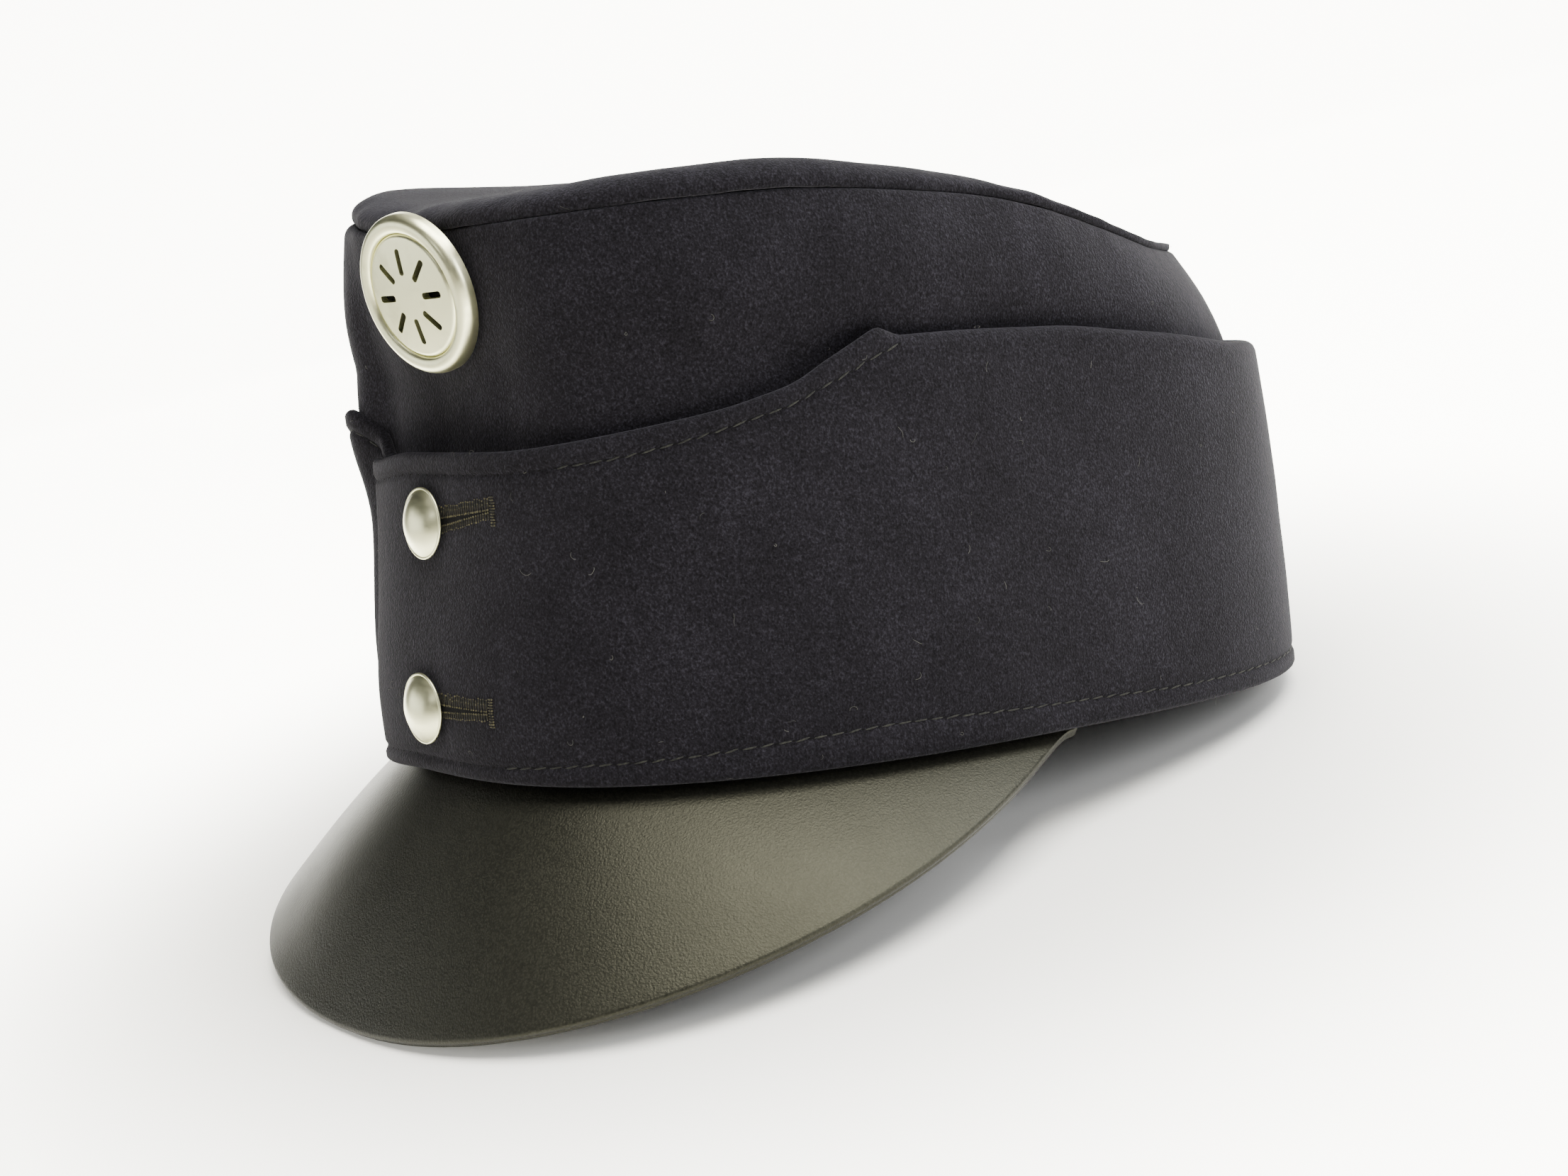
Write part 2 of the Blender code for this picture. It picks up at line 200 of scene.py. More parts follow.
def addBump(tree, shader, height, strength, distance):
    bump = addNode(tree, "ShaderNodeBump", {"Strength": strength, "Distance": distance})
    tree.links.new(height, bump.inputs["Height"])
    tree.links.new(bump.outputs["Normal"], shader.inputs["Normal"])


woolLook = {
    "fibre": 2100.0, "tuft": 1050.0, "patch": 60.0,  # scales of the three patterns
    "fibreShare": 0.52, "tuftShare": 0.30, "patchShare": 0.18,
    "dark": (0.0022, 0.0020, 0.0024), "middle": (0.0066, 0.0060, 0.0076), "pale": (0.0172, 0.0160, 0.0205),
    "sheen": 0.07, "sheenRoughness": 0.45, "sheenTint": (0.88, 0.86, 0.95, 1.0),
    "roughness": 0.95, "gloss": 0.06, "relief": 0.00014, "reliefShare": 0.55,
    "lay": (0.3, 0.6, 0.2), "stretch": (1.0, 1.0, 0.88),
}


def buildWool():
    # milled wool: short fibres lying one way over softer tufts and broad uneven patches
    made, tree, shader = newMaterial("napWool", {
        "Roughness": woolLook["roughness"], "Specular IOR Level": woolLook["gloss"],
        "Sheen Weight": woolLook["sheen"], "Sheen Roughness": woolLook["sheenRoughness"],
        "Sheen Tint": woolLook["sheenTint"]})
    place = addNode(tree, "ShaderNodeTexCoord").outputs["Object"]
    lay = addMapping(tree, place, woolLook["lay"], woolLook["stretch"])
    fibres = noiseMask(tree, lay, woolLook["fibre"], 3.0, 0.30, 0.72)
    tufts = noiseMask(tree, lay, woolLook["tuft"], 2.0, 0.28, 0.72)
    patches = noiseMask(tree, place, woolLook["patch"], 2.0, 0.25, 0.75)
    cover = blend(tree, [(fibres, woolLook["fibreShare"]), (tufts, woolLook["tuftShare"]),
                         (patches, woolLook["patchShare"])])
    colour = addRamp(tree, cover, [
        (0.18, woolLook["dark"]), (0.55, woolLook["middle"]), (0.92, woolLook["pale"])])
    tree.links.new(colour, shader.inputs["Base Color"])
    addBump(tree, shader, addMath(tree, "ADD", fibres, tufts), woolLook["reliefShare"], woolLook["relief"])
    return made


leatherLook = {
    "cell": 2100.0, "pore": 4200.0, "patch": 38.0,  # scales of the three patterns
    "dark": (0.0050, 0.0050, 0.0042), "pale": (0.015, 0.0148, 0.0115), "cellContrast": 1.4,
    "polish": 0.36, "dull": 0.50, "patchShare": 0.6, "poreShare": 0.4,
    "gloss": 0.28, "tint": (1.0, 0.97, 0.68, 1.0), "relief": 0.00012, "reliefShare": 0.6, "poreDepth": 0.35,
}


def buildLeather():
    # smooth cowhide with a fine pebble, worn a little brighter in places
    made, tree, shader = newMaterial("peakLeather", {
        "Specular IOR Level": leatherLook["gloss"], "Specular Tint": leatherLook["tint"]})
    place = addNode(tree, "ShaderNodeTexCoord").outputs["Object"]
    cells = addNode(tree, "ShaderNodeTexVoronoi", {"Scale": leatherLook["cell"]}, feature="SMOOTH_F1")
    tree.links.new(place, cells.inputs["Vector"])
    pebble = cells.outputs["Distance"]
    pores = noiseMask(tree, place, leatherLook["pore"], 2.0, 0.3, 0.7)
    patches = noiseMask(tree, place, leatherLook["patch"], 3.0, 0.3, 0.7)
    colour = addRamp(tree, addMath(tree, "MULTIPLY", pebble, leatherLook["cellContrast"]),
                     [(0.10, leatherLook["pale"]), (0.75, leatherLook["dark"])])
    tree.links.new(colour, shader.inputs["Base Color"])
    wear = blend(tree, [(patches, leatherLook["patchShare"]), (pores, leatherLook["poreShare"])])
    tree.links.new(addRange(tree, wear, 0.0, 1.0, leatherLook["polish"], leatherLook["dull"]),
                   shader.inputs["Roughness"])
    relief = addMath(tree, "SUBTRACT", addMath(tree, "MULTIPLY", pores, leatherLook["poreDepth"]), pebble)
    addBump(tree, shader, relief, leatherLook["reliefShare"], leatherLook["relief"])
    return made


metalLook = {
    "bright": (0.71, 0.70, 0.44), "stained": (0.60, 0.59, 0.36), "patch": 120.0, "scratch": 900.0,
    "smooth": 0.30, "rough": 0.38, "lay": (0.2, 0.5, 0.0), "stretch": (0.12, 1.0, 1.0),
}


def buildMetal():
    # satin aluminium with fine drawn scratches and faint tarnish
    made, tree, shader = newMaterial("satinAluminium", {"Metallic": 1.0})
    place = addNode(tree, "ShaderNodeTexCoord").outputs["Object"]
    drawn = addMapping(tree, place, metalLook["lay"], metalLook["stretch"])
    scratches = noiseMask(tree, drawn, metalLook["scratch"], 4.0, 0.35, 0.65)
    patches = noiseMask(tree, place, metalLook["patch"], 3.0, 0.30, 0.62)
    colour = addRamp(tree, patches, [(0.0, metalLook["stained"]), (0.55, metalLook["bright"])])
    tree.links.new(colour, shader.inputs["Base Color"])
    tree.links.new(addRange(tree, scratches, 0.0, 1.0, metalLook["smooth"], metalLook["rough"]),
                   shader.inputs["Roughness"])
    return made


def buildYarn(name, dark, pale, roughness, twist, sheen=0.05):
    # spun thread: colour and relief alternate along its twist
    made, tree, shader = newMaterial(name, {
        "Roughness": roughness, "Specular IOR Level": 0.2, "Sheen Weight": sheen, "Sheen Roughness": 0.4})
    place = addNode(tree, "ShaderNodeTexCoord").outputs["Object"]
    plies = noiseMask(tree, place, twist, 2.0, 0.32, 0.68)
    tree.links.new(addRamp(tree, plies, [(0.15, dark), (0.85, pale)]), shader.inputs["Base Color"])
    addBump(tree, shader, plies, 0.5, 0.0001)
    return made


napWool = buildWool()
peakHide = buildLeather()
satinMetal = buildMetal()
# name, dark and pale colour, roughness, scale of the twist
darkPlate = buildYarn("darkPlate", (0.004, 0.004, 0.004), (0.012, 0.012, 0.012), 0.8, 700.0)
seamThread = buildYarn("seamThread", (0.006, 0.006, 0.005), (0.019, 0.019, 0.015), 0.70, 1500.0)
holeThread = buildYarn("buttonholeThread", (0.003, 0.003, 0.002), (0.016, 0.014, 0.008), 0.75, 1400.0)
purlThread = buildYarn("purlThread", (0.012, 0.011, 0.006), (0.085, 0.075, 0.035), 0.65, 1100.0)
# painted shade: near black, for the sheet in each buttonhole's slit and the beads at the needle holes
shadowCloth = buildYarn("slitShadow", (0.0004, 0.0004, 0.0004), (0.001, 0.001, 0.001), 1.0, 900.0, 0.0)
napFibre = buildYarn("napFibre", (0.004, 0.0037, 0.0048), (0.015, 0.0142, 0.016), 0.9, 160.0)
lintFibre = buildYarn("lintFibre", (0.02, 0.02, 0.017), (0.085, 0.083, 0.070), 0.8, 200.0)
print("materials made")


flap = {
    "length": 0.221, "width": 0.1808, "squareFront": 2.64, "squareRear": 2.79, "rearFlare": 0.18,
    "height": 0.0888, "rearLean": 0.0080, "frontLean": 0.0040, "frontSpread": 62.0, "leanPower": 1.6,
    "foldTurn": 74.5, "foldOver": 4.0, "foldDepth": 0.90, "overEnd": -18.0, "underEnd": 376.0,
    "turnIn": 0.0070, "frontRoll": 0.0013, "sideRoll": 0.0025, "rollFrom": 0.3, "rollOver": 0.4,
    # the under end's top climbs, then falls behind the over end
    "underRise": 0.0084, "riseFrom": 316.0, "riseOver": 18.0, "fallFrom": 332.0, "fallOver": 19.0,
    "fallShare": 1.4,
    # and it passes behind the over one
    "underDip": 0.00265, "dipFrom": 333.5, "dipOver": 7.5, "dipSooner": 9.0, "dipHeight": 0.045,
    # the over end's two corners sag
    "endDrop": 0.0022, "endDropOver": 16.0, "hemDrop": 0.0014, "hemDropOver": 17.0, "hemDropHeight": 0.03,
    # the wearer's right front corner leans out
    "cornerTurn": 330.0, "cornerBefore": 22.0, "cornerAfter": 11.0, "cornerFlare": 0.0044, "flareFrom": 0.58,
    "flareOver": 0.3,
    # sewing pulls a groove and pads the cloth beside it
    "pad": 0.00030, "groove": 0.00045, "grooveWidth": 0.0008, "lineClear": 0.0022,
    "softness": 0.00045, "softFrom": 0.006, "columns": 520, "rows": 36, "arcHeight": 0.03,
}
# scale, seed, strength and share of the height of each soft wave in the cloth
flapWaves = [(0.028, 3.1, 0.7, 0.7), (0.011, 1.7, 0.25, 1.0)]
# degrees from the front, share of the flap's height
flapEdge = [
    (0, 0.800), (16, 0.801), (24, 0.808), (33, 0.822), (43, 0.842), (53, 0.868),
    (58, 0.889), (63, 0.917), (67, 0.960), (70.5, 0.997), (73.5, 1.028), (74.5, 1.022), (76.5, 1.006),
    (83, 1.006), (90, 0.998), (97, 0.972), (105, 0.950), (112, 0.930), (120, 0.912),
    (140, 0.905), (180, 0.900),
]
# share of the height, share of the front's lean
frontProfile = [(0.0, 0.0), (0.18, -0.2), (0.45, 0.50), (0.65, 0.90), (1.0, 1.0)]
# degrees from the front, millimetres from the hem and from the top
hemStitches = [
    (0, 3.6), (13, 3.7), (30, 4.8), (45, 5.7), (59, 7.0), (74, 7.9), (87, 6.6), (99, 4.9), (130, 4.6),
    (180, 4.6),
]
topStitches = [
    (0, 4.9), (28, 4.8), (39, 5.1), (48, 4.6), (56, 4.0), (64, 4.3), (69, 5.3), (73.3, 5.7), (76, 2.0),
]


def uneven(point, waves):
    return sum(share * grain((point.x, point.y, point.z * tall), scale, seed)
               for scale, seed, share, tall in waves)


def stitchLine(rows, turn):
    # how far the sewn line stands from its edge
    return readTable(rows, fromFront(turn)) / 1000


def frontCorner(turn):
    past = degrees(turn) - flap["cornerTurn"]
    return smooth(1.0 - abs(past) / flap["cornerAfter" if past > 0 else "cornerBefore"])


def flapLean(turn, height):
    # how far the wall leans in at a height
    rear = (1.0 - cos(turn)) / 2.0
    front = smooth(1.0 - fromFront(turn) / flap["frontSpread"])
    share = min(max(height / flap["height"], 0.0), 1.0)
    lean = flap["rearLean"] * rear * share ** flap["leanPower"]
    lean += flap["frontLean"] * front * readTable(frontProfile, share)
    flare = frontCorner(turn) * smooth((share - flap["flareFrom"]) / flap["flareOver"])
    return lean - flap["cornerFlare"] * flare


def flapPlan(turn, inset):
    halfLength, halfWidth = flap["length"] / 2 - inset, flap["width"] / 2 - inset
    return oval(turn, halfLength, halfWidth, flap["squareFront"], flap["squareRear"], flap["rearFlare"])


def flapPoint(turn, height, inset):
    x, y = flapPlan(turn, inset)
    shrink = 1.0 - flapLean(turn, height) / (flap["length"] / 2)
    return Vector((x * shrink, y * shrink, height))


def overCorner(turn, over):
    # 1 at the over end, 0 from so many degrees past it; the under end's turns are past a full circle
    return 1.0 - smooth((degrees(turn) - flap["overEnd"]) / over)


def flapTop(turn):
    height = flap["height"] * readTable(flapEdge, fromFront(turn))
    rise = smooth((degrees(turn) - flap["riseFrom"]) / flap["riseOver"])
    fall = smooth((degrees(turn) - flap["fallFrom"]) / flap["fallOver"])
    height += flap["underRise"] * (rise - flap["fallShare"] * fall)
    return height - flap["endDrop"] * overCorner(turn, flap["endDropOver"])


def underDip(turn, height):
    # the under end passes behind the over one, sooner at the hem than at its top
    start = flap["dipFrom"] - flap["dipSooner"] * (1.0 - smooth(height / flap["dipHeight"]))
    return flap["underDip"] * smooth((degrees(turn) - start) / flap["dipOver"])


def hemDrop(turn, height):
    # the over end's lower corner hangs a little below the hem
    low = 1.0 - smooth(height / flap["hemDropHeight"])
    return Vector((0.0, 0.0, flap["hemDrop"] * overCorner(turn, flap["hemDropOver"]) * low))


def folded(turn):
    # 1 where the flap's top is a fold that goes back down inside, 0 at its open front
    return smooth((fromFront(turn) - flap["foldTurn"]) / flap["foldOver"] + 0.5)


def rollRadius(turn, high):
    # the radius of the rolled edge, which is larger along the fold
    return flap["frontRoll"] + (flap["sideRoll"] - flap["frontRoll"]) * folded(turn) * high


def sewnPuff(away, line):
    # the cloth stands up between its edge and the sewn line, and sinks at the line
    pad = flap["pad"] * sin(pi * away / line) if away < line else 0.0
    return pad - flap["groove"] * exp(-((away - line) / flap["grooveWidth"]) ** 2)


def flapSurface(turn, fromHem, fromTop, fromEnd):
    # a point of the flap's outer face
    top = flapTop(turn)
    high = smooth((fromHem - flap["rollFrom"] * top) / (flap["rollOver"] * top))
    edge = min(fromHem, fromTop, fromEnd)
    inset = roundOff(rollRadius(turn, high), edge)
    puff = sewnPuff(fromHem, stitchLine(hemStitches, turn))
    puff += sewnPuff(fromTop, stitchLine(topStitches, turn)) * (1.0 - folded(turn))
    point = flapPoint(turn, fromHem, inset + underDip(turn, fromHem))
    soft = flap["softness"] * uneven(point, flapWaves) * smooth(edge / flap["softFrom"])
    return point + outward(point) * (puff + soft) - hemDrop(turn, fromHem)


def flapFace(turn, height):
    # the same, away from the flap's ends
    return flapSurface(turn, height, flapTop(turn) - height, 0.02)


def arcTable(pointAt, first, last, step=radians(0.05)):
    # turns and lengths along a line round the cap, so that columns can be evenly spaced
    turns, lengths = [first], [0.0]
    before = pointAt(first)
    while turns[-1] < last - 1e-9:
        turn = min(turns[-1] + step, last)
        here = pointAt(turn)
        turns.append(turn)
        lengths.append(lengths[-1] + (here - before).length)
        before = here
    return turns, lengths


def turnAt(table, along):
    turns, lengths = table
    if along <= 0:
        return turns[0]
    if along >= lengths[-1]:
        return turns[-1]
    i = bisect_right(lengths, along)
    share = (along - lengths[i - 1]) / max(lengths[i] - lengths[i - 1], 1e-12)
    return turns[i - 1] + (turns[i] - turns[i - 1]) * share


flapArc = arcTable(lambda turn: flapPoint(turn, flap["arcHeight"], 0.0),
                   radians(flap["overEnd"]), radians(flap["underEnd"]))
flapEnd = flapArc[1][-1]
rollShares = [0.0, 0.06, 0.22, 0.5, 1.0]  # rows over a rolled edge, as shares of its radius


def flapRows(turn):
    # heights above the hem, close together at the rolled edges and at the stitch lines
    top, upper = flapTop(turn), rollRadius(turn, 1.0)
    hemLine = stitchLine(hemStitches, turn)
    topLine = max(stitchLine(topStitches, turn), upper + flap["lineClear"])
    near = (-0.0014, -0.0008, -0.0004, 0.0, 0.0004, 0.0008, 0.0014)
    low = [share * flap["frontRoll"] for share in rollShares] + [hemLine + d for d in near]
    high = [topLine - d for d in near] + [share * upper for share in reversed(rollShares)]
    return low + spaced(low[-1], top - high[0], flap["rows"])[1:-1] + [top - h for h in high]


def flapColumns():
    # lengths from the over end, close together at both ends
    near = [share * flap["frontRoll"] for share in rollShares]
    near += [0.0022, 0.0032, 0.0040, 0.0046, 0.0052, 0.0060]
    return near + spaced(0.0070, flapEnd - 0.0070, flap["columns"]) + [flapEnd - d for d in reversed(near)]


def gridPlace(v, columns, rows):
    # which column and row of a fresh 2 x 2 grid a corner stands in
    return round((v.co.x + 1) / 2 * (columns - 1)), round((v.co.y + 1) / 2 * (rows - 1))


def buildFlap():
    columns = flapColumns()
    rows = [flapRows(turnAt(flapArc, along)) for along in columns]
    wide, tall = len(columns), len(rows[0])
    mesh = bmesh.new()
    bmesh.ops.create_grid(mesh, x_segments=wide - 1, y_segments=tall - 1, size=1.0)
    alongOf = mesh.verts.layers.float.new("along")
    heightOf = mesh.verts.layers.float.new("fromHem")
    # which way the edges turn in: along the cap, up from the hem, down from the top
    inwardOf = mesh.verts.layers.int.new("inward")
    upOf = mesh.verts.layers.int.new("up")
    downOf = mesh.verts.layers.int.new("down")
    for v in mesh.verts:
        i, j = gridPlace(v, wide, tall)
        v[alongOf], v[heightOf] = columns[i], rows[i][j]
        v[inwardOf] = (1 if i == 0 else 0) - (1 if i == wide - 1 else 0)
        v[upOf], v[downOf] = (1 if j == 0 else 0), (1 if j == tall - 1 else 0)
        turn, height = turnAt(flapArc, columns[i]), rows[i][j]
        v.co = flapSurface(turn, height, flapTop(turn) - height, min(columns[i], flapEnd - columns[i]))
    # the rolled edges go on round and back inside: shares of the roll, and of the way in behind it
    rim = [edge for edge in mesh.edges if edge.is_boundary]
    for bend, back in [(0.10, 0.0), (0.45, 0.0), (1.0, 0.0), (1.0, 0.25), (1.0, 0.6), (1.0, 1.0)]:
        made = bmesh.ops.extrude_edge_only(mesh, edges=rim)["geom"]
        rim = [g for g in made if isinstance(g, bmesh.types.BMEdge)]
        for v in [g for g in made if isinstance(g, bmesh.types.BMVert)]:
            turn = turnAt(flapArc, v[alongOf])
            roll = rollRadius(turn, v[downOf])
            foldDepth = flap["foldDepth"] * flapTop(turn) - flap["turnIn"]
            deep = flap["turnIn"] + foldDepth * folded(turn) * v[downOf]
            away = bend * roll + back * max(deep - roll, 0.0)
            height = v[heightOf] + away * (v[upOf] - v[downOf])
            turn = turnAt(flapArc, v[alongOf] + away * v[inwardOf])
            inset = 2 * roll - roundOff(roll, away) + underDip(turn, height)
            v.co = flapPoint(turn, height, inset) - hemDrop(turn, height)
    bmesh.ops.recalc_face_normals(mesh, faces=mesh.faces)
    settle(mesh)
    return newPiece("earFlapCloth", mesh, napWool)


def settle(mesh):
    # cloth or leather that meets the floor is pressed flat on it
    lift = capPose.inverted()
    for v in mesh.verts:
        place = capPose @ v.co
        if place.z < 0.0:
            place.z = 0.0
            v.co = lift @ place


crown = {
    "inset": 0.0108, "height": 0.1180, "waist": 0.72, "seamLength": 0.1960, "seamWidth": 0.1560,
    "seamRear": 0.0905, "squareFront": 3.00, "squareRear": 2.50, "seamFlare": 0.11, "columns": 420,
    "thickness": 0.0018, "topRoll": 0.0060, "topRise": 0.0120, "rollStart": 0.90, "stand": 0.0016,
    "puff": 0.0028, "puffFront": 40.0,
    # the wall swells over the flap's wearer's right corner, and the seam's corner stands up
    "swell": 0.0040, "swellFrom": 0.56, "swellOver": 0.08, "swellFall": 0.34, "swellAfter": 16.0,
    "cornerRise": 0.0062, "cornerBreadth": 0.0624, "cornerShare": 0.30,
    # the seam's groove, its rounding at the corner, and the puckers beside it
    "valley": 0.0009, "sideRound": 0.0030, "pucker": 0.0006, "puckerReach": 0.005,
    "softness": 0.0007, "freeFrom": 0.55, "freeOver": 0.15,
}
wallWaves = [(0.032, 8.3, 1.0, 0.8), (0.012, 2.2, 0.35, 1.0)]
panelWaves = [(0.030, 4.4, 1.0, 0.0), (0.012, 9.1, 0.35, 0.0)]
puckerWaves = [(0.0075, 5.0, 1.0, 0.0)]
# degrees from the front, share of the wall's inset from the flap: all round, and at the wearer's right front
crownInsets = [
    (0, 1.0), (14, 0.86), (20, 0.70), (27, 0.53), (38, 0.41), (50, 0.34), (62, 0.40), (73, 0.523),
    (180, 0.55),
]
endInsets = [(0, 1.0), (14, 0.88), (19, 0.80), (22, 0.64), (24, 0.52), (27, 0.45), (38, 0.39), (50, 0.34)]
# share of the seam's length from its front, then shares of the height, the top's roll and the top's rise
crownSections = [
    (0.00, 1.003, 0.74, 0.10), (0.12, 1.018, 0.80, 0.13), (0.25, 1.026, 0.78, 0.20),
    (0.40, 1.012, 0.55, 0.40), (0.50, 0.996, 0.36, 0.58), (0.60, 0.962, 0.24, 0.70),
    (0.70, 0.918, 0.14, 0.80), (0.80, 0.882, 0.06, 0.85), (1.00, 0.870, 0.05, 0.70),
]


def seamShare(y):
    # 0 at the seam's front, 1 at its rear
    return (y - crown["seamRear"] + crown["seamLength"]) / crown["seamLength"]


def atCorner(x, y):
    # 1 at the wearer's right front corner of the seam, 0 elsewhere
    return smooth(-x / crown["cornerBreadth"]) * smooth(1.0 - seamShare(y) / crown["cornerShare"])


def seamHeight(x, y):
    return crown["height"] * readTable(crownSections, seamShare(y), 1) + crown["cornerRise"] * atCorner(x, y)


def seamPlan(turn, scale=1.0):
    # the seam seen from above, or a smaller ring inside it
    half, squareFront, squareRear = crown["seamLength"] / 2, crown["squareFront"], crown["squareRear"]
    x, y = oval(turn, half, crown["seamWidth"] / 2, squareFront, squareRear, crown["seamFlare"])
    return x * scale, y * scale + crown["seamRear"] - half


def crownBase(turn, height, further=0.0):
    # the wall where it stands inside the flap
    rows = endInsets if sin(turn) < 0.0 and fromFront(turn) < endInsets[-1][0] else crownInsets
    x, y = flapPlan(turn, crown["inset"] * readTable(rows, fromFront(turn)) + further)
    share = min(height / flap["height"], 1.0)
    rear = (1.0 - cos(turn)) / 2.0
    shrink = 1.0 - flap["rearLean"] * rear * share ** flap["leanPower"] / (flap["length"] / 2)
    return Vector((x * shrink, y * shrink, height))


def wallSwell(turn, level):
    past = degrees(turn % (2.0 * pi)) - flap["cornerTurn"]
    aside = abs(past) / (crown["swellAfter"] if past > 0 else flap["cornerBefore"])
    start = smooth((level - crown["swellFrom"]) / crown["swellOver"])
    stop = smooth((1.0 - level) / crown["swellFall"])
    return crown["swell"] * smooth(1.0 - aside) * start * stop


def crownPoint(turn, level):
    # level is 0 at the rim and 1 at the seam
    x, y = seamPlan(turn)
    height = seamHeight(x, y) * level
    base = crownBase(turn, height)
    rise = max(level - crown["waist"], 0.0) / (1.0 - crown["waist"])
    puff = crown["puff"] * sin(pi * rise) * (1.0 - smooth(1.0 - fromFront(turn) / crown["puffFront"]))
    return base.lerp(Vector((x, y, height)), rise) + outward(base) * (puff + wallSwell(turn, level))


def crownWall(turn, level):
    # both sides of the seam turn in to meet at its bottom
    point = crownPoint(turn, level)
    fromSeam = seamHeight(*seamPlan(turn)) * (1.0 - level)
    free = smooth((level - crown["freeFrom"]) / crown["freeOver"])
    soft = crown["softness"] * uneven(point, wallWaves)
    soft += crown["pucker"] * uneven(point, puckerWaves) * exp(-fromSeam / crown["puckerReach"])
    valley = crown["valley"] + crown["sideRound"] * atCorner(point.x, point.y)
    return point + outward(point) * (free * soft - roundOff(valley, fromSeam))


def crownPanel(turn, ring):
    # ring is 1 at the seam and 0 at the panel's middle
    x, y = seamPlan(turn, ring)
    share = seamShare(y)
    dome = 1.0 - ring ** 2
    away = min(max((ring - crown["rollStart"]) / (1.0 - crown["rollStart"]), 0.0), 1.0)
    roll = crown["topRoll"] * readTable(crownSections, share, 2) * sqrt(1.0 - away * away)
    rise = crown["topRise"] * readTable(crownSections, share, 3) * dome
    edge = seamHeight(*seamPlan(turn))
    height = edge + (seamHeight(x, y) - edge) * dome
    point = Vector((x, y, height + roll + rise + crown["stand"]))
    out = Vector((x, y - crown["seamRear"] + crown["seamLength"] / 2, 0.0)).normalized()
    soft = crown["softness"] * uneven(point, panelWaves)
    soft += crown["pucker"] * uneven(point, puckerWaves) * smooth((ring - crown["rollStart"]) / 0.1)
    return point + (out * ring + Vector((0, 0, 1.0 - ring * 0.5))) * soft


crownArc = arcTable(lambda turn: crownPoint(turn, 0.8), 0.0, 2 * pi)


def crownCloth(name, rows, pointAt):
    # a closed ring of cloth, whose points are read from its turn and row, with its thickness
    columns = spaced(0.0, crownArc[1][-1], crown["columns"] + 1)
    mesh = bmesh.new()
    bmesh.ops.create_grid(mesh, x_segments=crown["columns"], y_segments=len(rows) - 1, size=1.0)
    for v in mesh.verts:
        i, j = gridPlace(v, crown["columns"] + 1, len(rows))
        v.co = pointAt(turnAt(crownArc, columns[i % crown["columns"]]), rows[j])
    bmesh.ops.remove_doubles(mesh, verts=mesh.verts, dist=1e-6)
    bmesh.ops.recalc_face_normals(mesh, faces=mesh.faces)
    piece = newPiece(name, mesh, napWool)
    wall = piece.modifiers.new("wall", "SOLIDIFY")
    wall.thickness = crown["thickness"]
    wall.offset = -1.0
    return piece


def buildCrownSide():
    levels = spaced(0.0, 0.55, 8) + spaced(0.60, 0.94, 22)
    levels += [0.955, 0.967, 0.977, 0.984, 0.989, 0.993, 0.996, 0.9985, 1.0]
    return crownCloth("crownSideCloth", levels, crownWall)


def topPoint(turn, row):
    # the panel's point, with its seam edge standing in the groove
    lift, ring = row
    point = crownPanel(turn, ring)
    fromSeam = crown["stand"] * lift + 3.0 * (1.0 - ring) * crown["seamLength"] / 2
    inward = crown["sideRound"] * atCorner(point.x, point.y) * smooth((ring - 0.5) / 0.5)
    down = Vector((0, 0, crown["stand"] * (1.0 - lift)))
    return point - outward(point) * (roundOff(crown["valley"], fromSeam) + inward) - down


def buildCrownTop():
    # up the standing edge, over the roll, then in to the middle
    rows = [(lift, 1.0) for lift in (0.0, 0.12, 0.3, 0.55, 0.8)]
    rings = [crown["rollStart"] + (1 - crown["rollStart"]) * cos(radians(bend)) for bend in spaced(0, 90, 12)]
    rings += spaced(rings[-1], 0.0, 26)[1:]
    return crownCloth("crownTopCloth", rows + [(1.0, ring) for ring in rings], topPoint)


peak = {
    "length": 0.0613, "turn": 90.7, "inset": 0.0054, "forward": 0.0748, "drop": 0.0414, "fullness": 1.70,
    "squareness": 0.78, "bow": 0.0015, "margin": 0.0030, "gap": 0.0003, "thickness": 0.0028,
    "upperRound": 0.0009, "lowerRound": 0.0005, "plyGroove": 0.00018, "plyWidth": 0.0003, "plyShare": 0.58,
    "columns": 220, "endShare": 0.997,
}


def peakSeat(turn):
    # where the leather leaves the rim
    x, y = flapPlan(turn, peak["inset"])
    return Vector((x, y, -peak["gap"]))


def peakReach(share):
    # the peak's length at a share of its half width
    return peak["length"] * max(1.0 - abs(share) ** peak["fullness"], 0.0) ** peak["squareness"]


def peakPoint(share, out):
    # on the upper face: out is 0 at the rim and 1 at the edge
    seat = peakSeat(share * radians(peak["turn"]))
    ray = (seat - Vector((0.0, -peak["forward"], peak["drop"]))).normalized()
    reach = peakReach(share)
    return seat + ray * reach * out + Vector((0, 0, peak["bow"] * sin(pi * out) * reach / peak["length"]))


def peakNormal(share, out):
    aside, ahead = 0.002, 0.01
    across = peakPoint(min(share + aside, 1.0), out) - peakPoint(max(share - aside, -1.0), out)
    down = peakPoint(share, out + ahead) - peakPoint(share, out - ahead)
    normal = across.cross(down).normalized()
    return normal if normal.z > 0 else -normal


